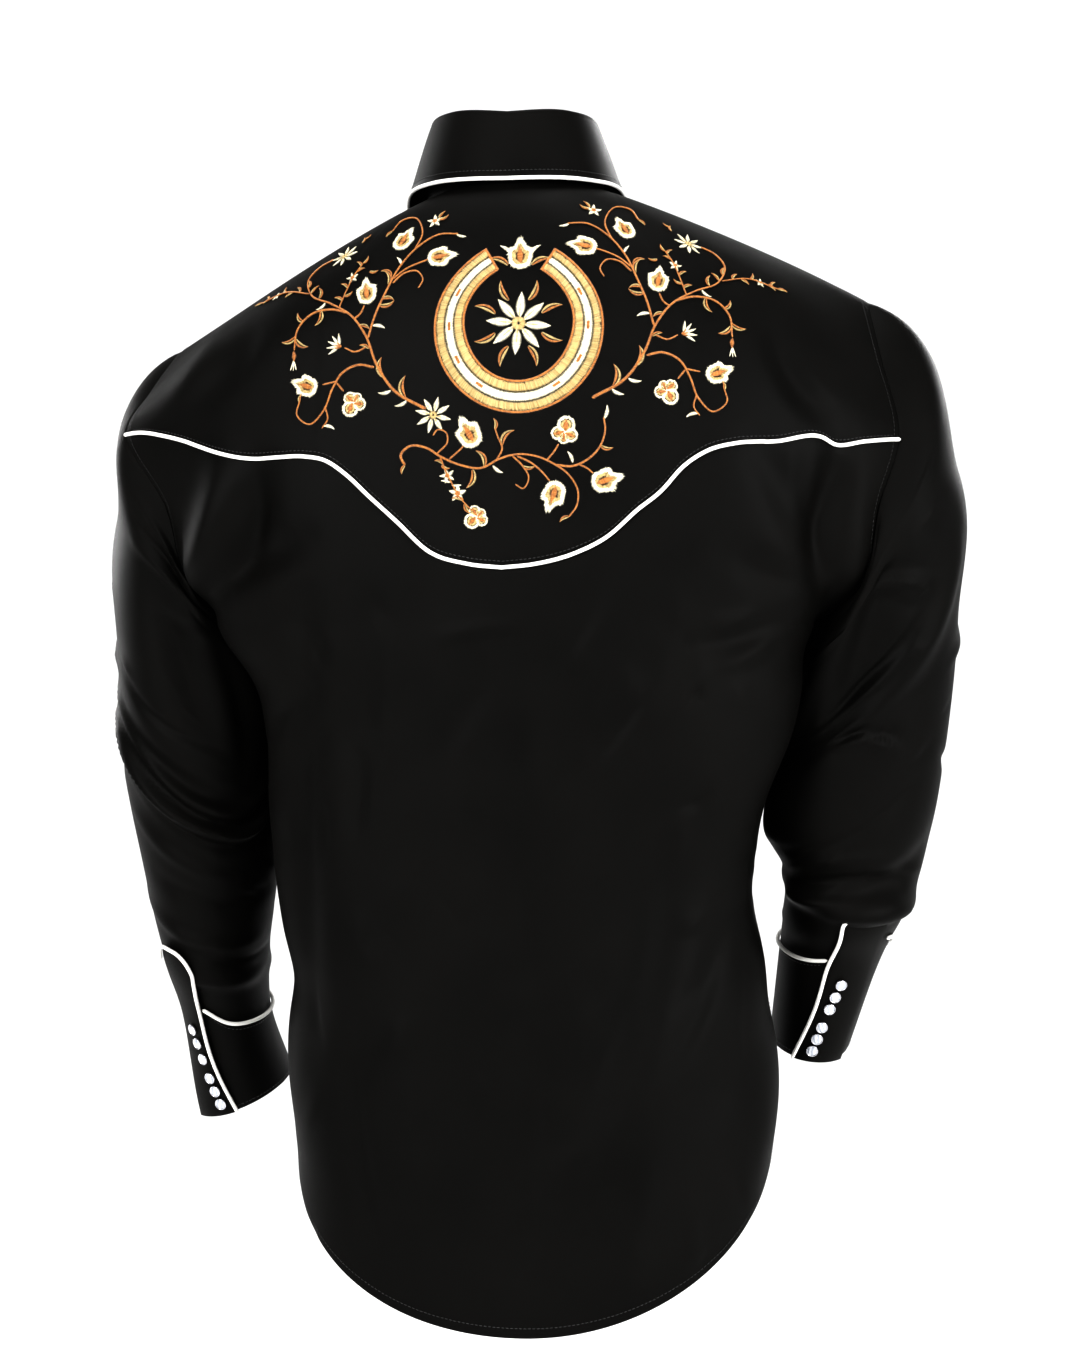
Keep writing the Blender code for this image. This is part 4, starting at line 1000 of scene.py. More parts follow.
def sewn_line(path: Array, ups: Array) -> tuple[Array, Array]:
    """Stitches along a path, as threads and normals for threads().

    Args:
        path: Points along the seam.
        ups: The cloth's normals there.

    Returns:
        The stitches' stations and their normals.
    """
    starts = even_places(path, STITCH_PITCH)[:-1]
    per_metre = np.interp(starts, np.arange(len(path) - 1),
                          1 / np.maximum(np.linalg.norm(np.diff(path, axis=0), axis=1), 1e-9))
    places = starts[:, None] + (per_metre * STITCH_LENGTH)[:, None] * np.linspace(0, 1, 4)[None]
    return read_at(path, places), unit(read_at(ups, places))


# ---------------------------------------------------------------- finishes
class Shader:
    """A node tree, with short calls for adding nodes and joining them."""

    def __init__(self, tree: bpy.types.NodeTree) -> None:
        """Keeps the tree."""
        self.tree = tree

    def add(self, kind: str, **values: object) -> bpy.types.Node:
        """Adds a node.

        Args:
            kind: The node's type, without ShaderNode in front.
            values: Sockets to set, named with _ for a space, and the node's own properties.

        Returns:
            The node.
        """
        node = self.tree.nodes.new(kind if kind.startswith("Node") else "ShaderNode" + kind)
        for key, value in values.items():
            socket = node.inputs.get(key.replace("_", " ")) if key[0].isupper() else None
            if socket is not None:
                socket.default_value = value
            else:
                setattr(node, key, value)
        return node

    def join(self, source: Socket, target: Socket) -> None:
        """Links two sockets."""
        self.tree.links.new(source, target)


class Effect(Enum):
    """The shared effects, each a node group."""
    WEAVE = "weave"
    CLOUD = "cloud"


def effect_group(effect: Effect) -> bpy.types.NodeTree:
    """A shared node group, built once.

    WEAVE reads a flat vector and crosses two sets of threads into a height. CLOUD reads a vector and
    gives a soft blotchy mask from noise.

    Args:
        effect: Which group.

    Returns:
        The group.
    """
    if effect.value in bpy.data.node_groups:
        return bpy.data.node_groups[effect.value]
    group = bpy.data.node_groups.new(effect.value, "ShaderNodeTree")
    for name, way, kind in (("Vector", "INPUT", "Vector"), ("Scale", "INPUT", "Float"),
                            ("Mask", "OUTPUT", "Float")):
        group.interface.new_socket(name, in_out=way, socket_type="NodeSocket" + kind)
    shader = Shader(group)
    came, gone = shader.add("NodeGroupInput"), shader.add("NodeGroupOutput")

    def texture(kind: str, **values: object) -> Socket:
        """The shade of a texture that reads the group's vector and scale."""
        node = shader.add(kind, **values)
        for name in ("Vector", "Scale"):
            shader.join(came.outputs[name], node.inputs[name])
        return node.outputs["Fac"]
    if effect is Effect.WEAVE:
        last = shader.add("Math", operation="MAXIMUM")
        for number, direction in enumerate(("Y", "X")):
            wave = texture("TexWave", bands_direction=direction, Distortion=0.6, Detail=1.0)
            shader.join(wave, last.inputs[number])
    else:
        last = shader.add("MapRange", From_Min=0.32, From_Max=0.68)
        shader.join(texture("TexNoise", Detail=4.0, Roughness=0.55), last.inputs["Value"])
    shader.join(last.outputs[0], gone.inputs["Mask"])
    return group


class Look(Shader):
    """A material in the making, with the calls that the finishes share."""

    def __init__(self, name: str, **values: object) -> None:
        """Starts a material and sets sockets of its shader node, named with _ for a space."""
        self.material = bpy.data.materials.new(name)
        self.material.use_nodes = True
        super().__init__(self.material.node_tree)
        self.sockets = self.tree.nodes["Principled BSDF"].inputs
        self.places = self.add("TexCoord").outputs
        for key, value in values.items():
            self.sockets[key.replace("_", " ")].default_value = value

    def effect(self, effect: Effect, place: str, scale: float) -> Socket:
        """The mask of a shared effect, read at the object's or the cloth's own coordinates."""
        node = self.add("Group")
        node.node_tree = effect_group(effect)
        node.inputs["Scale"].default_value = scale
        self.join(self.places[place], node.inputs["Vector"])
        return node.outputs["Mask"]

    def roughen(self, mask: Socket, low: float, high: float) -> None:
        """Roughness from low to high, by a mask."""
        spread = self.add("MapRange", To_Min=low, To_Max=high)
        self.join(mask, spread.inputs["Value"])
        self.join(spread.outputs["Result"], self.sockets["Roughness"])

    def shade(self, mask: Socket, dark: Colour, light: Colour) -> None:
        """Base colour from dark to light, by a mask."""
        ramp = self.add("ValToRGB")
        for element, colour in zip(ramp.color_ramp.elements, (dark, light)):
            element.color = (*colour, 1.0)
        self.join(mask, ramp.inputs["Fac"])
        self.join(ramp.outputs["Color"], self.sockets["Base Color"])

    def emboss(self, height: Socket, strength: float, distance: float) -> None:
        """Fine relief, by a height."""
        bump = self.add("Bump", Strength=strength, Distance=distance)
        self.join(height, bump.inputs["Height"])
        self.join(bump.outputs["Normal"], self.sockets["Normal"])


@dataclass(frozen=True)
class WovenFinish:
    """Cloth: a base colour that clouds a little, a fine weave in the bump, and a soft sheen."""
    name: str
    colour: Colour
    clouded: Colour
    roughness: float
    specular: float
    sheen: float
    threads_per_metre: float
    weave_height: float
    cloud_scale: float = 14.0

    def material(self) -> Material:
        """Builds the material."""
        look = Look(self.name, Specular_IOR_Level=self.specular, Sheen_Weight=self.sheen,
                    Sheen_Roughness=0.45)
        cloud = look.effect(Effect.CLOUD, "Object", self.cloud_scale)
        mix = look.add("Mix", data_type="RGBA")
        mix.inputs[6].default_value = (*self.colour, 1.0)
        mix.inputs[7].default_value = (*self.clouded, 1.0)
        look.join(cloud, mix.inputs["Factor"])
        look.join(mix.outputs[2], look.sockets["Base Color"])
        look.roughen(cloud, self.roughness - 0.05, self.roughness + 0.06)
        look.emboss(look.effect(Effect.WEAVE, "UV", self.threads_per_metre), 0.5, self.weave_height)
        return look.material


@dataclass(frozen=True)
class ThreadFinish:
    """Embroidery or sewing thread: each strand its own shade, with a silky gloss."""
    name: str
    dark: Colour
    light: Colour
    roughness: float = 0.42
    specular: float = 0.4
    sheen: float = 0.15
    twist: float = 6.0
    twist_height: float = 0.00008

    def material(self) -> Material:
        """Builds the material."""
        look = Look(self.name, Roughness=self.roughness, Specular_IOR_Level=self.specular,
                    Sheen_Weight=self.sheen)
        look.shade(look.add("Attribute", attribute_name="shade").outputs["Fac"], self.dark, self.light)
        twist = look.add("TexWave", Scale=self.twist, Distortion=0.4, bands_direction="DIAGONAL")
        look.join(look.places["UV"], twist.inputs["Vector"])
        look.emboss(twist.outputs["Fac"], 0.35, self.twist_height)
        return look.material


@dataclass(frozen=True)
class PearlFinish:
    """A snap's pearl: pale bands that swirl, under a clear coat."""
    name: str = "pearl"
    pale: Colour = (0.52, 0.53, 0.55)
    deep: Colour = (0.24, 0.26, 0.30)
    bands: float = 90.0

    def material(self) -> Material:
        """Builds the material."""
        look = Look(self.name, Roughness=0.22, Coat_Weight=0.6, Coat_Roughness=0.06)
        swirl = look.add("TexWave", Scale=self.bands, Distortion=9.0, Detail=3.0)
        look.join(look.places["Object"], swirl.inputs["Vector"])
        look.shade(swirl.outputs["Fac"], self.deep, self.pale)
        return look.material


@dataclass(frozen=True)
class MetalFinish:
    """A snap's rim: bright metal with faint turning marks."""
    name: str = "snap_metal"
    colour: Colour = (0.46, 0.46, 0.48)
    marks: float = 400.0

    def material(self) -> Material:
        """Builds the material."""
        look = Look(self.name, Base_Color=(*self.colour, 1.0), Metallic=1.0)
        look.roughen(look.effect(Effect.CLOUD, "Object", self.marks), 0.2, 0.36)
        return look.material


class Silk(Enum):
    """The embroidery's threads, each with the darkest and lightest shade of its strands."""
    COPPER = ((0.20, 0.066, 0.008), (0.42, 0.165, 0.028))
    CREAM = ((0.44, 0.40, 0.27), (0.70, 0.67, 0.53))
    TAN = ((0.24, 0.165, 0.055), (0.46, 0.35, 0.15))


class Finishes:
    """The shirt's materials, made once."""

    def __init__(self) -> None:
        """Builds each material."""
        self.cloth = WovenFinish("black_satin_cotton", (0.0027, 0.0026, 0.0023), (0.0038, 0.0036, 0.0032),
                                 0.52, 0.05, 0.0, 420.0, 0.00010).material()
        self.piping = WovenFinish("white_piping_cloth", (0.66, 0.65, 0.62), (0.58, 0.57, 0.54),
                                  0.62, 0.3, 0.1, 500.0, 0.00012, 60.0).material()
        self.pearl = PearlFinish().material()
        self.metal = MetalFinish().material()
        self.black_thread = ThreadFinish("black_sewing_thread", (0.004, 0.004, 0.004),
                                         (0.012, 0.012, 0.012)).material()
        self.threads = {colour: ThreadFinish(colour.name.lower() + "_thread", *colour.value).material()
                        for colour in Silk}


# ---------------------------------------------------------------- embroidery
class Motif(Enum):
    """The ordinary motifs that the embroidery is made of."""
    LEAF = "leaf"               # copper on one side of its vein, tan on the other
    PALE_LEAF = "pale_leaf"
    BLOOM = "bloom"             # cream drop with a copper heart
    STAR = "star"               # eight petals
    FAN = "fan"                 # half a daisy over a copper cup
    PANSY = "pansy"
    FLORET = "floret"
    BUD = "bud"


LEAF, PALE_LEAF, BLOOM, STAR, FAN, PANSY, FLORET, BUD = Motif

class Sprout(NamedTuple):
    """One motif: where it sits in millimetres, which way it points in degrees, its size and its bend."""
    motif: Motif
    x: float
    z: float
    turn: float
    size: float
    bend: float = 0.0


class Vine(NamedTuple):
    """A stem's width at its two ends and the few points it runs through, in millimetres."""
    width: float
    tip_width: float
    points: Sequence[tuple[float, float]]


# a side spray, out from the middle of the back on the left; the right one mirrors it
SPRAY_VINES = tuple(Vine(width, tip_width, points) for width, tip_width, *points in (
    (3, 1.2, (56, -162), (78, -149), (91, -130), (98, -112), (109, -97), (124, -88), (139, -81),
     (143, -70), (136, -60), (126, -55)),
    (2.2, 1.4, (97, -113), (92, -96), (85, -80), (77, -64), (64, -49), (50, -41), (37, -41)),
    (1.7, 1.2, (67, -52), (62, -39), (68, -28), (78, -29), (84, -37)),
    (1.7, 1.4, (81, -72), (72, -65), (63, -61), (57, -59)),
    (1.7, 1.3, (81, -75), (73, -68), (64, -67), (60, -73), (63, -79)),
    (1.8, 1.5, (107, -99), (103, -96), (100, -90)),
    (2.3, 1.5, (111, -95), (124, -92), (138, -95), (147, -105), (149, -120)),
    (1.7, 1.4, (98, -119), (106, -122), (113, -119)),
    (2.4, 1.3, (92, -133), (103, -131), (114, -136), (121, -147), (127, -162), (137, -171), (146, -164),
     (144, -155)),
    (1.7, 1.5, (118, -142), (128, -144)),
    (1.9, 1.6, (118, -143), (113, -149)),
    (1.6, 1.2, (126, -159), (124, -168), (128, -174)),
    (1.3, 0.9, (141, -80), (158, -77), (179, -83)),
    (1.3, 0.9, (118, -91), (113, -78), (109, -69), (103, -60)),
))
SPRAY_SPROUTS = tuple(Sprout(*row) for row in (
    (BLOOM, 76, -45, 112, 9), (BLOOM, 50, -57, 172, 9.4), (BLOOM, 99, -82, 78, 9.2),
    (BLOOM, 139, -145, 20, 9.2), (PANSY, 106, -157, -60, 8.6), (STAR, 118, -53, 20, 10),
    (FAN, 117, -118, 25, 9), (BUD, 149, -124, -92, 9), (FLORET, 54, -31, 10, 5.6),
    (LEAF, 51, -30, 150, 7, 1), (LEAF, 51, -29, 118, 6.5, -1), (PALE_LEAF, 38, -41, 200, 7, 0.6),
    (LEAF, 70, -154, 88, 15, -3.2), (LEAF, 85, -140, 80, 14, -3), (PALE_LEAF, 80, -149, -8, 9, -1),
    (PALE_LEAF, 69, -156, -22, 9, -1), (PALE_LEAF, 94, -104, 195, 9, -1), (LEAF, 96, -120, 20, 7, 1),
    (LEAF, 103, -104, 200, 7.5, -1.2), (LEAF, 90, -90, 165, 11, 2), (LEAF, 88, -86, 185, 8.5, -1.6),
    (LEAF, 84, -76, 70, 11, 2.4), (LEAF, 82, -70, 28, 9, 2), (PALE_LEAF, 76, -62, 60, 7, 0.8),
    (LEAF, 131, -93, -78, 11, -2.2), (PALE_LEAF, 128, -87, -40, 8, -1), (LEAF, 148, -110, -22, 11, -2),
    (LEAF, 148, -112, -150, 11.5, 2), (LEAF, 143, -100, 48, 9, -1.8), (LEAF, 142, -76, 62, 8.5, 1.6),
    (LEAF, 133, -84, 74, 9, 1.8), (LEAF, 139, -80, 118, 7.5, -1.4), (LEAF, 84, -37, -62, 6, 1),
    (LEAF, 144, -156, 100, 6, -1), (PALE_LEAF, 127, -172, -160, 8.5, -1), (LEAF, 148, -78, 40, 7, 1),
    (LEAF, 154, -78, -40, 6, 1), (LEAF, 160, -77, 50, 7, -1), (FLORET, 167, -79, 0, 3.8),
    (LEAF, 172, -80, -52, 6.5, 1), (LEAF, 174, -81, 34, 6.5, 1), (LEAF, 179, -83, -18, 7, 1),
    (LEAF, 116, -86, 20, 6.5, 1), (LEAF, 115, -83, 150, 6.5, 1), (LEAF, 113, -77, 30, 6, 1),
    (FLORET, 110, -70, 0, 4.4), (LEAF, 107, -66, 150, 6, -1), (LEAF, 104, -62, 40, 6, 1),
    (LEAF, 103, -60, 110, 6.5, 1), (LEAF, 98, -66, 175, 6.5, 1), (LEAF, 106, -44, 70, 6, 1),
    (LEAF, 105, -41, 130, 5.5, 1),
))
# the spray under the middle, in its own place
LOWER_VINES = tuple(Vine(width, tip_width, points) for width, tip_width, *points in (
    (2.4, 1.6, (66, -200), (69, -193), (63, -187), (52, -188), (42, -194), (28, -200), (14, -202),
     (2, -196), (-9, -193), (-22, -194), (-34, -199), (-45, -207), (-51, -218), (-50, -228),
     (-45, -235)),
    (2.2, 1.6, (-36, -200), (-47, -201), (-58, -196), (-66, -187), (-69, -177), (-68, -168)),
    (1.7, 1.3, (44, -192), (37, -184), (38, -178), (44, -176), (47, -180)),
    (1.8, 1.5, (36, -196), (30, -191), (26, -187)),
    (1.8, 1.5, (-30, -197), (-35, -191), (-38, -186)),
    (1.9, 1.5, (-10, -194), (-20, -199), (-28, -206), (-32, -211)),
    (1.8, 1.5, (-52, -200), (-58, -203), (-61, -206)),
    (1.8, 1.4, (4, -197), (0, -189), (3, -181), (5, -175)),
    (1.7, 1.2, (-7, -194), (-14, -201), (-18, -209), (-14, -216), (-9, -213)),
    (1.5, 1, (42, -194), (39, -202), (35, -210), (29, -221), (20, -231)),
))
LOWER_SPROUTS = tuple(Sprout(*row) for row in (
    (STAR, 47, -166, 10, 12), (BLOOM, 22, -180, 62, 10.6), (PANSY, -42, -178, 100, 9.2),
    (BLOOM, -35, -219, -70, 10), (BLOOM, -68, -211, 165, 10.2), (PALE_LEAF, -68, -169, 105, 9.5, 1),
    (LEAF, 5, -176, 82, 7.5, 1.4), (LEAF, 0, -187, 128, 13, -3), (LEAF, 12, -201, 62, 12, 2.6),
    (LEAF, 20, -203, -72, 13, -2.6), (PALE_LEAF, 6, -200, -140, 8.5, 1),
    (PALE_LEAF, -47, -199, 70, 8.5, 1), (LEAF, -66, -187, 190, 8.5, 1.6), (LEAF, 66, -200, -70, 6, 1),
    (LEAF, -45, -235, -30, 7, 1.2), (FLORET, 37, -207, 0, 5.2), (FLORET, 30, -219, 20, 6),
    (PANSY, 17, -235, -40, 8), (LEAF, 40, -199, 20, 6, 1), (LEAF, 41, -200, -160, 6, 1),
    (PALE_LEAF, 35, -212, 15, 6.5, 0.6), (PALE_LEAF, 34, -213, -175, 6.5, 0.6),
    (LEAF, 26, -224, 10, 8, 1.4), (LEAF, 25, -226, -120, 7.5, 1.2), (LEAF, -14, -201, 180, 8, 1.4),
))


LAYERS = {Silk.COPPER: 0.00035, Silk.TAN: 0.00014, Silk.CREAM: 0.0}    # how high over the cloth they lie


@dataclass
class Needlework:
    """Satin stitches laid out flat, square on to the back, and then carried onto the yoke."""
    body: Body
    pitch: float = 0.00046
    strand: float = 0.00066
    rise: float = 0.00062
    long_from: float = 0.0036   # a stitch this long bends with the cloth at one more place
    unevenness: float = 0.00012
    edge_cord: float = 0.0011   # half the widths of the horseshoe's copper bands
    heel_bar: float = 0.0014
    nail: tuple[float, float] = (0.0016, 0.0026)
    lines: dict[Silk, list[Array]] = field(default_factory=lambda: {silk: [] for silk in Silk})
    draw: np.random.Generator = field(default_factory=lambda: np.random.default_rng(5))

    def metric(self, x: float, z: float) -> Array:
        """How a step on the cloth shows square on: columns are a step sideways and a step up it."""
        across, level = self.body.locate(np.array([x]), np.array([z]))
        normal = outward(self.body.base, across, level)[0]
        sideways = unit(np.cross(normal, UP))
        upwards = np.cross(sideways, normal)
        return np.array([[sideways[0], upwards[0]], [sideways[2], upwards[2]]])

    def lay(self, silk: Silk, starts: Array, ends: Array) -> None:
        """Adds stitches from starts to ends, in metres square on."""
        self.lines[silk].append(np.concatenate([starts, ends], axis=1))

    def satin(self, silk: Silk, spine: Array, left: Array, right: Array, slant: float) -> None:
        """Stitches across a band, from its right edge to its left, each leaning forward by slant rows.

        Args:
            silk: The thread.
            spine: The band's middle, in metres square on.
            left: Distance of the left edge from the spine, row by row.
            right: The same of the right edge.
            slant: How many rows further on a stitch ends.
        """
        side = across_path(spine)
        rows = np.arange(len(spine), dtype=float)
        ahead = np.clip(rows + slant, 0, len(spine) - 1)
        behind = np.clip(rows - slant, 0, len(spine) - 1)
        ragged = 1 + self.draw.normal(0.0, 0.05, (2, len(spine), 1))
        starts = read_at(spine, behind) - read_at(side * right[:, None], behind) * ragged[0]
        ends = read_at(spine, ahead) + read_at(side * left[:, None], ahead) * ragged[1]
        self.lay(silk, starts, ends)

    def vine(self, vine: Vine, side: int, shift: Array) -> None:
        """A stem in copper satin, mirrored on the right."""
        spine = smooth_path([(side * x, z) for x, z in vine.points], self.pitch * 1000) / 1000 + shift
        half = np.linspace(vine.width, vine.tip_width, len(spine)) / 2000
        half = half * np.sqrt(np.clip(np.minimum(np.arange(len(spine)) + 1,
                                                 np.arange(len(spine))[::-1] + 1) / 4, 0.2, 1.0))
        self.satin(Silk.COPPER, spine, half, half, 1.6)

    def local(self, sprout: Sprout, side: int, shift: Array) -> Reader:
        """A carrier from a motif's own millimetres, with x the way it points, to metres square on.

        Args:
            sprout: The motif.
            side: LEFT, or RIGHT for its mirror image.
            shift: Where the design's own origin lies.

        Returns:
            A function of points, two numbers each.
        """
        centre = np.array((side * sprout.x, sprout.z)) / 1000 + shift
        carried = self.metric(*centre) @ np.diag((side, 1.0)) @ spin(math.radians(sprout.turn))
        return lambda points: centre + np.asarray(points) / 1000 @ carried.T

    def petal(self, carry: Reader, silks: tuple[Silk, Silk], start: Sequence[float],
              angle: float, length: float, half: float, bend: float = 0.0) -> None:
        """An almond: its half width swells as a sine, and its spine bows as a parabola.

        Args:
            carry: The motif's carrier.
            silks: The threads left and right of the vein; one thread crosses it where both are alike.
            start: The petal's foot.
            angle: Its way, in radians.
            length: From foot to tip.
            half: Half its greatest width.
            bend: How far the spine bows sideways.
        """
        rows = max(5, int(length / (self.pitch * 1000)))
        t = np.linspace(0.0, 1.0, rows)
        bowed = np.stack([length * t, bend * 4 * t * (1 - t)], axis=-1)
        spine = np.asarray(start) + bowed @ spin(angle).T
        out = across_path(spine)
        swell = (half * np.sin(np.pi * t ** 0.85) ** 0.8 + 0.12)[:, None]
        lean = np.clip(np.arange(rows) + 2.2, 0, rows - 1)
        left, right = read_at(spine + out * swell, lean), read_at(spine - out * swell, lean)
        if silks[0] is silks[1]:
            self.lay(silks[0], carry(spine - out * swell), carry(left))
        else:
            self.lay(silks[0], carry(spine), carry(left))
            self.lay(silks[1], carry(spine), carry(right))

    def disc(self, carry: Reader, silk: Silk, centre: Sequence[float],
             radius: Reader, inner: float, spacing: float) -> None:
        """Radial stitches round a centre, uneven at their outer ends as thread on cloth is.

        Args:
            carry: The motif's carrier.
            silk: The thread.
            centre: The middle of the disc.
            radius: Its outline, as a function of the angle.
            inner: Where the stitches start, as a share of the outline.
            spacing: Between stitches at the outline, in millimetres.
        """
        widest = float(radius(np.linspace(-np.pi, np.pi, 64)).mean())
        angle = np.linspace(-np.pi, np.pi, max(8, int(2 * np.pi * widest / spacing)), endpoint=False)
        way = np.stack([np.cos(angle), np.sin(angle)], axis=-1)
        reach = (radius(angle) * (1 + self.draw.normal(0.0, 0.035, len(angle))))[:, None]
        foot = reach * inner * (1 + self.draw.normal(0.0, 0.12, len(angle)))[:, None]
        self.lay(silk, carry(centre + way * foot), carry(centre + way * reach))

    def sprout(self, sprout: Sprout, side: int, shift: Array) -> None:
        """Stitches one motif."""
        carry = self.local(sprout, side, shift)
        size, cream, tan, copper = sprout.size, Silk.CREAM, Silk.TAN, Silk.COPPER
        if sprout.motif is LEAF:
            self.petal(carry, (copper, tan), (0, 0), 0.0, size, 0.13 * size + 0.35, sprout.bend)
        elif sprout.motif is PALE_LEAF:
            self.petal(carry, (cream, cream), (0, 0), 0.0, size, 0.15 * size + 0.2, sprout.bend)
        elif sprout.motif is BLOOM:
            def outline(angle: Array) -> Array:
                """A drop: a rounded foot, two shoulders and a pointed tip."""
                return size * (0.86 + 0.62 * np.exp(-(angle / 0.30) ** 2)
                               + 0.16 * np.exp(-((np.abs(angle) - 0.90) / 0.28) ** 2)
                               - 0.08 * np.exp(-((np.abs(angle) - 1.75) / 0.35) ** 2))
            self.disc(carry, cream, (0, 0), outline, 0.50, 0.42)
            self.disc(carry, tan, (0, 0), lambda angle: 0.72 * outline(angle), 0.4, 0.75)
            self.petal(carry, (copper, copper), (-0.46 * size, 0), 0.0, 1.16 * size, 0.25 * size)
        elif sprout.motif is STAR:
            for number in range(8):
                angle = number * math.pi / 4 + 0.1
                foot = 0.2 * size * spin(angle)[:, 0]
                self.petal(carry, (cream, cream), foot, angle, 0.84 * size, 0.17 * size)
                self.petal(carry, (tan, tan), foot, angle, 0.45 * size, 0.05 * size)
            self.disc(carry, tan, (0, 0), lambda angle: 0.25 * size + 0 * angle, 0.1, 0.45)
        elif sprout.motif is FAN:
            for number in range(5):
                angle = (number - 2) * 0.52
                self.petal(carry, (cream, cream), (0, 0), angle, size, 0.15 * size)
            for angle in (-0.5, 0.0, 0.5):
                self.petal(carry, (copper, copper), (-0.2 * size, 0), angle, 0.5 * size, 0.10 * size)
        elif sprout.motif is PANSY:
            for angle, far, width in ((0.0, 0.52, 0.72), (1.9, 0.50, 0.56), (4.38, 0.50, 0.56),
                                      (3.14, 0.46, 0.46)):
                lobe = far * size * spin(angle)[:, 0]
                self.disc(carry, cream, lobe, lambda around: width * size + 0 * around, 0.55, 0.42)
                self.disc(carry, tan, lobe, lambda around: 0.62 * width * size + 0 * around, 0.3, 0.5)
                self.petal(carry, (copper, copper), lobe * 0.1, angle, (far + 0.5 * width) * size,
                           0.34 * width * size)
        elif sprout.motif is FLORET:
            for number in range(5):
                angle = number * 2 * math.pi / 5
                self.petal(carry, (cream, cream), (0, 0), angle, size, 0.30 * size)
            self.disc(carry, copper, (0, 0), lambda angle: 0.34 * size + 0 * angle, 0.1, 0.4)
        elif sprout.motif is BUD:
            self.petal(carry, (copper, copper), (-0.4 * size, 0), 0.0, 0.8 * size, 0.2 * size)
            for angle in (-0.3, 0.0, 0.3):
                self.petal(carry, (cream, cream), (0.3 * size, 0), angle, 0.8 * size, 0.07 * size)

    def bar(self, spine: Array, half: float, slant: float) -> None:
        """A band of copper satin of an even width."""
        edge = np.full(len(spine), half)
        self.satin(Silk.COPPER, spine, edge, edge, slant)

    def horseshoe(self, centre: Array, width: float, height: float, half: float) -> None:
        """The middle of the yoke: a horseshoe, open at the top, round a large star flower.

        The band's spine is an ellipse from heel to heel; three lanes of satin fill it, copper cords
        edge it, and short copper bars mark its nails.

        Args:
            centre: The middle of the horseshoe, in metres square on.
            width: Half its spine's width, in metres.
            height: Half its spine's height.
            half: Half the band's width at the toe.
        """
        angle = np.radians(np.linspace(118.0, 422.0, 680))
        narrowed = 1 - 0.16 * np.clip(np.sin(angle), 0.0, 1.0) ** 2
        spine = centre + np.stack([width * np.cos(angle) * narrowed, height * np.sin(angle)], axis=-1)
        band = half * (1 - 0.22 * soft_step(-0.6, 0.9, np.sin(angle)))
        for silk, inner, outer, slant in ((Silk.TAN, -1.0, -0.30, 1.2), (Silk.CREAM, -0.36, 0.32, -1.2),
                                          (Silk.TAN, 0.26, 1.0, 1.2)):
            self.satin(silk, spine, band * outer, -band * inner, slant)
        for edge in (-1.0, 1.0):
            self.bar(spine + across_path(spine) * (band * edge)[:, None], self.edge_cord, 2.0)
        for end in (0, -1):
            run = unit(spine[1] - spine[0]) if end == 0 else unit(spine[-1] - spine[-2])
            aside = np.array((-run[1], run[0])) * band[end] * 1.1
            self.bar(np.linspace(spine[end] - aside, spine[end] + aside, 44), self.heel_bar, 1.5)
        for place in (0.12, 0.21, 0.30, 0.39, 0.61, 0.70, 0.79, 0.88):
            row = int(place * (len(spine) - 1))
            run = unit(spine[row + 1] - spine[row])
            reach = run * self.nail[1]
            self.bar(np.linspace(spine[row] - reach, spine[row] + reach, 12), self.nail[0], 0.4)

    def centre(self, at: Array) -> None:
        """Stitches the middle design: the horseshoe, its flower and a few leaves."""
        self.horseshoe(at, 0.047, 0.050, 0.0105)
        leaves = [(LEAF, *17.0 * spin(math.radians(turn))[:, 0], turn, 15, bend)
                  for turn, bend in zip(range(22, 360, 45), (2, -2) * 4)]
        crown = [(STAR, 0, 0, 0, 21), (BLOOM, 0, 46, 90, 11), (LEAF, -8, 40, 160, 14, -2.5),
                 (LEAF, 8, 40, 20, 14, 2.5), (PALE_LEAF, -6, 48, 140, 10, -1),
                 (PALE_LEAF, 6, 48, 40, 10, 1)]
        for row in leaves + crown:
            self.sprout(Sprout(*row), LEFT, at)

    def pieces(self, finishes: Finishes) -> list[Piece]:
        """Carries the stitches onto the yoke, short ones in four stations and long ones in five.

        Args:
            finishes: The shirt's materials.

        Returns:
            One or two meshes for each thread.
        """
        made = []
        for number, (silk, groups) in enumerate(self.lines.items()):
            lines = np.concatenate(groups)
            spans = np.linalg.norm(lines[:, 2:] - lines[:, :2], axis=1)
            for word, chosen, stations in (("short", spans < self.long_from, 4),
                                           ("long", spans >= self.long_from, 5)):
                rows = lines[chosen]
                if not len(rows):
                    continue
                t = np.linspace(0.0, 1.0, stations)[None, :, None]
                flat = rows[:, None, :2] * (1 - t) + rows[:, None, 2:] * t
                across, level = self.body.locate(flat[..., 0], flat[..., 1])
                paths = self.body.surface(across, level)
                ups = outward(self.body.surface, across, level)
                order = np.random.default_rng(number).uniform(0.0, self.unevenness, (len(rows), 1, 1))
                name = f"embroidery_{silk.name.lower()}_{word}"
                made.append(threads(name, paths + ups * (order + LAYERS[silk]), ups, self.strand, self.rise,
                                    finishes.threads[silk], seed=number))
        return made


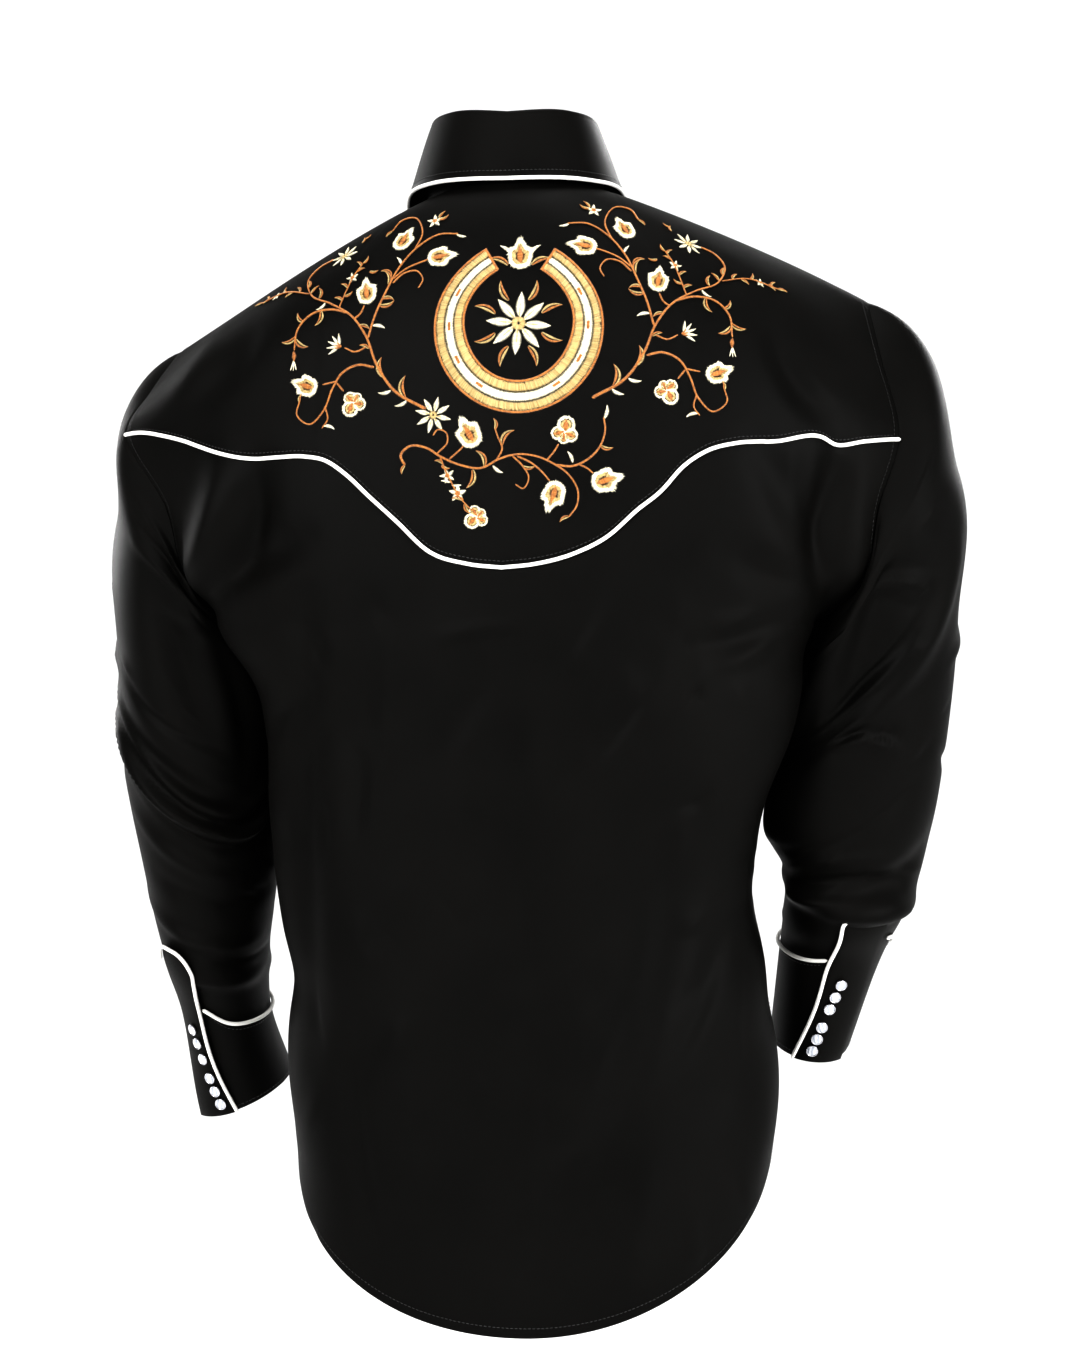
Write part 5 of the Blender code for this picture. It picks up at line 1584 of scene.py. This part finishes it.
# ---------------------------------------------------------------- the pieces of the shirt
@dataclass
class Shirt:
    """Everything that is cut and sewn, in the order that a maker would join it."""
    finishes: Finishes
    body: Body = field(default_factory=Body)
    grid: int = 6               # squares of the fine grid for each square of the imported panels

    def __post_init__(self) -> None:
        """Starts the list of pieces and the sleeves."""
        self.made: dict[str, Piece] = {}
        self.sleeves = {side: Sleeve(side, self.body) for side in (LEFT, RIGHT)}
        self.seams: list[tuple[Array, Array]] = []

    def keep(self, piece: Piece, slot: str | None, *nodes: str) -> None:
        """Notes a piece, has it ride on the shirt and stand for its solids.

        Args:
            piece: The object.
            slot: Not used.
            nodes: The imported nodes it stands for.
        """
        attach(piece, "root")
        if nodes:
            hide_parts(*nodes)
        self.made[piece.name] = piece
        logging.info("%s: %d faces", piece.name, len(piece.data.polygons))

    def panel(self, node: str, grid: Array, thickness: float, sign: int, closed: bool = False) -> None:
        """Makes a wall of black cloth, which stands for its node; the numbers are as shell() takes them."""
        piece = shell(f"{node}_cloth", grid, thickness, sign, self.finishes.cloth, closed)
        self.keep(piece, "black_cloth", node)

    def cord(self, node: str, path: Array, ups: Array) -> None:
        """Makes a piping cord along a path, which stands for its node."""
        piece = tube(f"{node}_cord", path, ups, PIPING_RADIUS, self.finishes.piping)
        self.keep(piece, "white_piping", node)

    def sew(self, surface: Callable[[Array, Array, float], Array], a: Array, b: Array | float) -> None:
        """Adds a line of stitches on a wall, along a path of its first and its second number."""
        b = b + 0 * a
        path, under = surface(a, b, 0.0), surface(a, b, 0.001)
        self.seams.append(sewn_line(path, unit(path - under)))

    def make_back(self) -> None:
        """The yoke and the back below it, which meet along the smile seam."""
        squares_across = 2 * (NECK_COLUMNS + SHOULDER_COLUMNS) * self.grid
        across = self.body.spread(np.linspace(0.0, 1.0, squares_across + 1))
        seam = self.body.yoke_level(across)
        top = self.body.neck_level(across, 1) + SEAM
        b = np.linspace(0.0, 1.0, 81)[:, None]
        grid = self.body.surface(across[None], (seam - SEAM) + (top - seam + SEAM) * b)
        self.panel("back_yoke", grid, CLOTH, -1)
        level = panel_levels(seam + SEAM, 181, YOKE_STEPS)
        self.panel("back_body", self.body.surface(across[None], level), CLOTH, -1)
        self.sew(self.body.wall, across[2:-2], seam[2:-2] - 0.011)
        self.sew(self.body.wall, across[2:-2], HEM_STITCHES)
        for side in (LEFT, RIGHT):
            for across_to, start, end in ((0.988, 1.04, 1.98), (ARM_STITCHES, 0.03, 0.97)):
                self.sew(self.body.wall, np.full(160, side * across_to), np.linspace(start, end, 160))

    def make_front(self, side: int) -> None:
        """One front, from its free edge under the placket to the side seam."""
        corner, free = self.body.neck_corner(side), FREE_EDGES[side]
        squares = FRONT_COLUMNS + SHOULDER_COLUMNS
        column = np.linspace(0.0, squares, squares * self.grid + 1)
        size = np.where(column <= FRONT_COLUMNS, free + (corner - free) * column / FRONT_COLUMNS,
                        corner + (1 - EDGE - corner) * (column - FRONT_COLUMNS) / SHOULDER_COLUMNS)
        top = -self.body.neck_level(side * size, -1) + SEAM
        level = panel_levels(top, 208)
        under = (LIFT if side == RIGHT else 0.0) * (1 - soft_step(0.08, 0.18, size))
        self.panel(f"front_{WORDS[side]}", self.body.wall(side * size, -level, under), CLOTH, side)
        self.sew(self.body.wall, side * size[2:-2], -HEM_STITCHES)
        self.sew(self.body.wall, np.full(160, side * ARM_STITCHES), np.linspace(-0.97, -0.03, 160))

    def make_placket(self) -> None:
        """The placket down the left front, stitched along both its edges."""
        half = PLACKET_WIDTH / 2 / (3 * self.body.rows[3].reach)
        across = np.linspace(-half, half, 15)
        top = -self.body.neck_level(across, -1) + 0.012
        grid = self.body.wall(across, -panel_levels(top, 231), -LIFT)
        self.panel("front_placket", grid, DOUBLED, 1)
        levels = np.linspace(-1.99, -top.max() - 0.01, 300)
        for share in (-0.82, 0.82):
            self.sew(lambda a, b, depth: self.body.wall(a, b, depth - LIFT),
                     share * half + 0 * levels, levels)

    def make_sleeve(self, side: int) -> None:
        """A sleeve, its cuff, the round-topped strip over the cuff, and their piping."""
        sleeve, word, strip = self.sleeves[side], WORDS[side], STRIPS[side]
        turn = np.linspace(0.0, 2.0, 2 * ARM_STEPS * 4 + 1)
        start = sleeve.start(turn)
        b = np.linspace(0.0, 1.0, 161)[:, None]
        seam = sleeve.cuff_seam(turn)
        way = seam - CUFF_SEAM + (start - seam + CUFF_SEAM) * b
        self.panel(f"sleeve_{word}", sleeve.surface(turn, way), CLOTH, side, closed=True)
        way = 1.0 + (seam + CUFF_SEAM - 1.0) * np.linspace(0.0, 1.0, 33)[:, None]
        self.panel(f"cuff_{word}", sleeve.surface(turn, way), DOUBLED, side, closed=True)

        way = 1.0 + (strip.top_way - 1.0) * np.linspace(0.0, 1.0, 81) ** 0.8
        rounding = np.sqrt(1 - np.clip(1 - (way - strip.top_way) / strip.round_way, 0.0, 1.0) ** 2)
        half = sleeve.strip_half(way, rounding)
        turns = sleeve.strip_turn(way)[:, None] + half[:, None] * np.linspace(-1.0, 1.0, 17)[None]
        self.panel(f"cuff_strip_{word}", sleeve.plain_wall(turns, way[:, None], -STRIP_LIFT), DOUBLED, side)

        clear = sleeve.strip_half(np.array([CUFF_WAY]), 1.0)[0] + 0.014
        turns = sleeve.strip_turn(np.array(CUFF_WAY)) + np.linspace(clear, 2 - clear, 140)
        ways = sleeve.cuff_seam(turns)
        path = sleeve.wall(turns, ways, -PIPING_RADIUS - CUFF_PIPING_OVER)
        self.cord(f"piping_cuff_{word}", path, outward(sleeve.surface, turns, ways, -side))

        quarter = math.pi / 2
        angle = np.concatenate([np.linspace(-1.4, quarter, 60), np.full(70, quarter)])
        straight = np.concatenate([np.zeros(60), np.linspace(0.0, 1.0, 71)[1:]])
        ways = strip.top_way + strip.round_way * (1 - np.cos(angle))
        ways = ways + (1.0 - strip.top_way - strip.round_way) * straight
        turns = sleeve.strip_turn(ways) + np.sign(angle) * sleeve.strip_half(ways, np.abs(np.sin(angle)))
        path = sleeve.plain_wall(turns, ways, -PIPING_RADIUS - STRIP_LIFT - GAP)
        self.cord(f"piping_strip_{word}", path, outward(sleeve.surface, turns, ways, -side))
        round_cuff = sleeve.strip_turn(np.array(CUFF_WAY)) + np.linspace(clear + 0.03, 1.97 - clear, 200)
        self.sew(sleeve.wall, round_cuff, sleeve.cuff_seam(round_cuff) + 0.012)
        self.sew(sleeve.wall, round_cuff + 0.06, 0.993)

    def make_collar(self) -> None:
        """The collar: a stand inside the neckline, a leaf folded over it, and piping on its edge."""
        collar = Collar(self.body)
        count = 2 * (NECK_COLUMNS + SHOULDER_COLUMNS)
        pitch = 2 * collar.leaf_end / count
        turn = np.clip(np.linspace(-1, 1, (count + 2) * self.grid + 1) * pitch * (count / 2 + 1),
                       -collar.stand_ends[0], collar.stand_ends[1])
        grid = collar.stand(turn[None], np.linspace(0.0, 1.0, 15)[:, None])
        self.panel("collar_stand", grid, DOUBLED, -1)
        turn = np.linspace(-collar.leaf_end, collar.leaf_end, count * self.grid + 1)
        drop = np.interp(np.linspace(0, 1, 55), (0.0, 0.3, 1.0), (0.0, collar.fold, 1.0))[:, None]
        self.panel("collar_leaf", collar.leaf(turn[None], drop), DOUBLED, 1)
        path = collar.leaf(turn, 1.0 + 0 * turn)
        along = path - collar.leaf(turn, 0.9 + 0 * turn)
        tangent = unit(np.gradient(path, axis=0))
        along = unit(along - tangent * np.sum(along * tangent, axis=-1, keepdims=True))
        self.cord("piping_collar", path + along * (PIPING_RADIUS + GAP), along)
        self.sew(collar.leaf_wall, turn[3:-3], 0.93)

    def make_yoke_piping(self) -> None:
        """The cord along the yoke's smile seam."""
        across = self.body.spread(np.linspace(0.0, 1.0, 321))
        across = np.clip(across, -1 + 2 * EDGE, 1 - 2 * EDGE)
        level = self.body.yoke_level(across)
        path = self.body.wall(across, level, -(PIPING_RADIUS + GAP))
        self.cord("piping_yoke", path, outward(self.body.surface, across, level))

    def make_snaps(self) -> None:
        """The pearl snaps: down the front, and six on each cuff's strip."""
        snap = Snap(self.finishes)
        collar = Collar(self.body)
        ends = collar.stand(np.array([collar.leaf_end, collar.stand_ends[1]]), np.full(2, 0.5))
        outwards = unit(np.cross(ends[0] - ends[1], UP))
        levels = np.array(SNAP_LEVELS)
        seats = self.body.wall(0 * levels, levels, -LIFT - GAP)
        normals = outward(self.body.surface, 0 * levels, levels)
        seats = np.concatenate([[ends.mean(axis=0) + outwards * GAP], seats])
        normals = np.concatenate([[outwards], normals])
        self.keep(snap.row("snaps_front", seats, normals), "pearl_snap",
                  *(f"snap_front_{number}" for number in range(1, 8)))
        for side, sleeve in self.sleeves.items():
            ways = np.array(STRIPS[side].snap_ways)
            turns = np.interp(ways, ways[[0, -1]], STRIPS[side].snap_turns)
            seats = sleeve.wall(turns, ways, -STRIP_LIFT - GAP)
            normals = outward(sleeve.surface, turns, ways, -side)
            self.keep(snap.row(f"snaps_cuff_{WORDS[side]}", seats, normals), "pearl_snap",
                      *(f"snap_{WORDS[side]}_{number}" for number in range(1, 7)))

    def make_sewing(self) -> None:
        """All the topstitching, as one mesh of black thread."""
        paths, ups = (np.concatenate(part) for part in zip(*self.seams))
        piece = threads("topstitching", paths + ups * STITCH_OVER, ups, STITCH_WIDTH, STITCH_RISE,
                        self.finishes.black_thread, seed=9)
        self.keep(piece, "black_cloth")

    def make_embroidery(self) -> None:
        """The yoke's sprays and its middle design."""
        work = Needlework(self.body)
        for side, shift, vines, sprouts in ((LEFT, (-0.004, 0.0), SPRAY_VINES, SPRAY_SPROUTS),
                                            (RIGHT, (-0.004, 0.007), SPRAY_VINES, SPRAY_SPROUTS),
                                            (LEFT, (0.0, 0.0), LOWER_VINES, LOWER_SPROUTS)):
            for vine in vines:
                work.vine(vine, side, np.array(shift))
            for sprout in sprouts:
                work.sprout(sprout, side, np.array(shift))
        work.centre(np.array((-0.010, -0.104)))
        for piece in work.pieces(self.finishes):
            self.keep(piece, None)


@dataclass(frozen=True)
class Collar:
    """The collar's two parts as surfaces round the neck."""
    body: Body
    half_width: float = 0.0570
    half_depth: float = 0.0600
    roll: float = 0.0029
    stand_ends: tuple[float, float] = (0.994, 1.012)
    leaf_end: float = 0.945
    fold: float = 0.2

    def ring(self, turn: Array, half_width: Array, half_depth: Array, up: Array) -> Array:
        """A point round the neck. turn: 0 at the middle of the back, 1 and -1 in front."""
        angle = np.asarray(turn) * np.pi
        return stacked(self.body.neck_out + half_width * np.sin(angle),
                       self.body.neck_back + half_depth * np.cos(angle), up)

    def stand(self, turn: Array, rise: Array) -> Array:
        """The stand: rise 0 at its foot inside the neckline, 1 inside the fold of the collar."""
        turns, fold_up, *_ = columns(COLLAR_LINES)
        foot = self.body.neckline_up(turn) - 0.004
        top = through(turns, fold_up, np.abs(turn)) - self.roll
        inset = 3.5 * DOUBLED
        foot_width, foot_depth = self.body.neck_half_width - inset, self.body.neck_half_depth - inset
        half_width = foot_width + (self.half_width + DOUBLED / 2 - foot_width) * rise
        half_depth = foot_depth + (self.half_depth + DOUBLED / 2 - foot_depth) * rise
        lap = (DOUBLED + 3 * GAP) * soft_step(self.leaf_end, self.stand_ends[0], -turn)
        return self.ring(turn, half_width - lap, half_depth - lap, foot + (top - foot) * rise)

    def leaf(self, turn: Array, drop: Array) -> Array:
        """The leaf: drop runs over the fold, a half circle, then down to the leaf's edge at 1."""
        turns, *lines = columns(COLLAR_LINES)
        top, left, right, out = (through(turns, line, np.abs(turn)) for line in lines)
        edge = np.where(turn > 0, left, right)
        round_fold = np.clip(drop / self.fold, 0.0, 1.0) * np.pi
        fall = np.clip((drop - self.fold) / (1 - self.fold), 0.0, 1.0)
        spread = -self.roll * np.cos(round_fold) + (out - self.roll) * fall ** 0.9
        up = top - self.roll + self.roll * np.sin(round_fold) + (edge - top + self.roll) * fall
        return self.ring(turn, self.half_width + spread, self.half_depth + spread, up)

    def leaf_wall(self, turn: Array, drop: Array, depth: float) -> Array:
        """A point of the leaf, depth under its outer side."""
        return sunk(self.leaf, turn, drop, depth)


@dataclass(frozen=True)
class Snap:
    """A pearl snap: a profile turned about its axis, pearl in the middle and metal round it."""
    finishes: Finishes
    radius: float = 0.0043
    height: float = 0.0021
    sides: int = 32

    def profile(self) -> Array:
        """Distance from the axis and height, from the crown to the back, as shares of the snap."""
        return np.array(((0.28, 0.98), (0.52, 0.92), (0.70, 0.80), (0.79, 0.66), (0.815, 0.60),
                         (0.83, 0.74), (0.87, 0.86), (0.92, 0.88), (0.97, 0.78), (1.0, 0.58),
                         (1.0, 0.30), (0.96, 0.06), (0.60, 0.0)))

    def row(self, name: str, seats: Array, normals: Array) -> Piece:
        """Snaps as one mesh: the turned profile set on each seat.

        Args:
            name: The piece's name.
            seats: Where each snap's back lies.
            normals: Which way each faces.

        Returns:
            The object.
        """
        shape = self.profile()
        angle = round_angles(self.sides)
        out = self.radius * shape[:, :1]
        rings = stacked(out * np.cos(angle), out * np.sin(angle), self.height * shape[:, 1:]).reshape(-1, 3)
        local = np.concatenate([[(0, 0, self.height)], rings, [(0, 0, 0)]])
        side = unit(np.cross(normals, UP))
        frames = np.stack([side, np.cross(normals, side), normals], axis=-1)
        points = seats[:, None] + np.einsum("sij,pj->spi", frames, local)
        rows = len(shape)
        index = 1 + np.arange(rows * self.sides).reshape(rows, self.sides)
        after = np.roll(index, -1, axis=1)
        last = len(local) - 1
        tops = np.stack([0 * index[0], index[0], after[0]], axis=-1)
        quads = np.stack([index[:-1], index[1:], after[1:], after[:-1]], axis=-1).reshape(-1, 4)
        backs = np.stack([0 * index[0] + last, after[-1], index[-1]], axis=-1)
        starts = (np.arange(len(seats)) * len(local))[:, None, None]
        tris = (np.concatenate([tops, backs]) + starts).reshape(-1, 3)
        metal_from = 4 * self.sides
        of_tris = np.tile(np.repeat((0, 1), self.sides), len(seats))
        of_quads = np.tile((np.arange(len(quads)) >= metal_from).astype(int), len(seats))
        return new_piece(name, points.reshape(-1, 3), [tris, (quads + starts).reshape(-1, 4)],
                         [self.finishes.pearl, self.finishes.metal],
                         finish_index=np.concatenate([of_tris, of_quads]))


# ---------------------------------------------------------------- flat sizes
class Cut(NamedTuple):
    """The flat piece that a panel is cut as: width, length and area, and what it is sewn to."""
    piece: str
    width: float
    length: float
    area: float
    joined: tuple[str, ...]
    trims: tuple[str, ...] = ()


CUTS = (
    Cut("back_yoke_cloth", 0.60, 0.29, 0.130, ("back_body_cloth",), ("piping_yoke_cord",)),
    Cut("back_body_cloth", 0.60, 0.63, 0.290, ("back_yoke_cloth",)),
    Cut("front_left_cloth", 0.31, 0.80, 0.205, ("back_yoke_cloth",)),
    Cut("front_right_cloth", 0.31, 0.80, 0.205, ("back_yoke_cloth",)),
    Cut("front_placket_cloth", 0.036, 0.70, 0.0252, ("front_left_cloth",)),
    Cut("collar_stand_cloth", 0.40, 0.045, 0.0175, ("back_yoke_cloth",)),
    Cut("collar_leaf_cloth", 0.48, 0.11, 0.032, ("collar_stand_cloth",), ("piping_collar_cord",)),
    Cut("sleeve_left_cloth", 0.34, 0.46, 0.125, ("back_yoke_cloth",)),
    Cut("sleeve_right_cloth", 0.34, 0.44, 0.125, ("back_yoke_cloth",)),
    Cut("cuff_left_cloth", 0.24, 0.07, 0.0168, ("sleeve_left_cloth",), ("piping_cuff_left_cord",)),
    Cut("cuff_right_cloth", 0.24, 0.08, 0.0188, ("sleeve_right_cloth",), ("piping_cuff_right_cord",)),
    Cut("cuff_strip_left_cloth", 0.034, 0.145, 0.0047, ("cuff_left_cloth",), ("piping_strip_left_cord",)),
    Cut("cuff_strip_right_cloth", 0.034, 0.135, 0.0045, ("cuff_right_cloth",),
        ("piping_strip_right_cord",)),
)


def declare_cuts(shirt: Shirt) -> None:
    """Runs through the cuts, listing each one's joins and looking up its trims among the made pieces."""
    for cut in CUTS:
        list(cut.joined)
        [shirt.made[name] for name in cut.trims]


# ---------------------------------------------------------------- studio
@dataclass(frozen=True)
class Studio:
    """A pale floor that curves up all round, soft lamps, and the camera behind the shirt."""
    floor_up: float = -1.45
    flat_radius: float = 3.2
    bowl_radius: float = 3.8
    floor_sides: int = 96
    lit_middle: tuple[float, float, float] = (0.0, 0.0, -0.35)
    camera_distance: float = 2.6
    camera_yaw: float = math.radians(5.0)
    camera_up: float = -0.341
    framing: float = 0.0148     # how far the camera stands to its own right
    lens: float = 98.48
    key_power: float = 122.0
    fill_power: float = 102.0
    top_power: float = 60.0
    sky_strength: float = 0.39

    def floor(self) -> None:
        """The floor: a disc whose rim bends up as a quarter circle, turned about the middle."""
        bend = np.linspace(0.0, math.pi / 2, 24)
        radius = np.concatenate([np.linspace(0.02, self.flat_radius, 12)[:-1],
                                 self.flat_radius + self.bowl_radius * np.sin(bend)])
        rise = np.concatenate([np.zeros(11), self.bowl_radius * (1 - np.cos(bend))])
        angle = round_angles(self.floor_sides)
        points = stacked(radius[:, None] * np.cos(angle), radius[:, None] * np.sin(angle),
                         self.floor_up + rise[:, None])
        index = np.arange(len(radius) * len(angle)).reshape(len(radius), -1)
        look = Look("studio_floor", Base_Color=(0.95, 0.95, 0.95, 1.0), Specular_IOR_Level=0.1)
        look.roughen(look.effect(Effect.CLOUD, "Object", 3.0), 0.85, 0.95)
        quads = squares(index, np.roll(index, -1, axis=1))
        new_piece("studio_floor", points.reshape(-1, 3), [quads[:, ::-1], index[:1]],
                           [look.material])

    def aimed(self, name: str, data: bpy.types.ID, place: Array, ahead: Array) -> Piece:
        """A new object at a place, that looks ahead."""
        made = in_scene(name, data)
        made.location = place
        made.rotation_euler = Vector(ahead).to_track_quat("-Z", "Y").to_euler()
        return made

    def lamp(self, name: str, place: Sequence[float], size: float, power: float) -> None:
        """A square soft lamp, aimed at the shirt's middle."""
        light = bpy.data.lights.new(name, "AREA")
        light.size = size
        light.energy = power
        self.aimed(name, light, np.array(place), np.array(self.lit_middle) - place)

    def lamps(self) -> None:
        """Soft lamps behind the back, the same ones turned round for the front, and a white sky."""
        for name, turned, share in (("", 1.0, 1.0), ("front_", -1.0, 0.6)):
            self.lamp(name + "key", (turned * 1.5, turned * 3.0, 0.9), 1.2, share * self.key_power)
            self.lamp(name + "fill", (turned * -2.4, turned * 1.9, 0.3), 1.2, share * self.fill_power)
        self.lamp("top", (0.0, 0.0, 2.6), 1.6, self.top_power)
        world = bpy.data.worlds.new("studio_sky")
        world.use_nodes = True
        sky = world.node_tree.nodes["Background"]
        sky.inputs["Color"].default_value = (1.0, 1.0, 1.0, 1.0)
        sky.inputs["Strength"].default_value = self.sky_strength
        bpy.context.scene.world = world

    def camera(self) -> None:
        """The camera: level, behind the wearer's back, five degrees round to the wearer's right."""
        right = np.array((-math.cos(self.camera_yaw), -math.sin(self.camera_yaw), 0.0))
        ahead = np.array((math.sin(self.camera_yaw), -math.cos(self.camera_yaw), 0.0))
        place = -ahead * self.camera_distance + np.array((0.0, 0.0, self.camera_up)) + right * self.framing
        data = bpy.data.cameras.new("camera")
        data.lens = self.lens
        data.sensor_width = 36.0
        bpy.context.scene.camera = self.aimed("camera", data, place, ahead)

    def tones(self) -> None:
        """Plain tones with firm contrast, so that the floor is near white and the cloth near black."""
        settings = bpy.context.scene.view_settings
        settings.view_transform = "Standard"
        settings.look = "High Contrast"


def main() -> None:
    """Builds the shirt piece by piece, then the studio."""
    logging.basicConfig(level=logging.INFO, format="%(message)s")
    shirt = Shirt(Finishes())
    shirt.make_back()
    for side in (LEFT, RIGHT):
        shirt.make_front(side)
    shirt.make_placket()
    shirt.make_collar()
    for side in (LEFT, RIGHT):
        shirt.make_sleeve(side)
    shirt.make_yoke_piping()
    shirt.make_snaps()
    shirt.make_sewing()
    shirt.make_embroidery()
    declare_cuts(shirt)
    studio = Studio()
    studio.floor()
    studio.lamps()
    studio.camera()
    studio.tones()


if __name__ == "__main__":
    main()
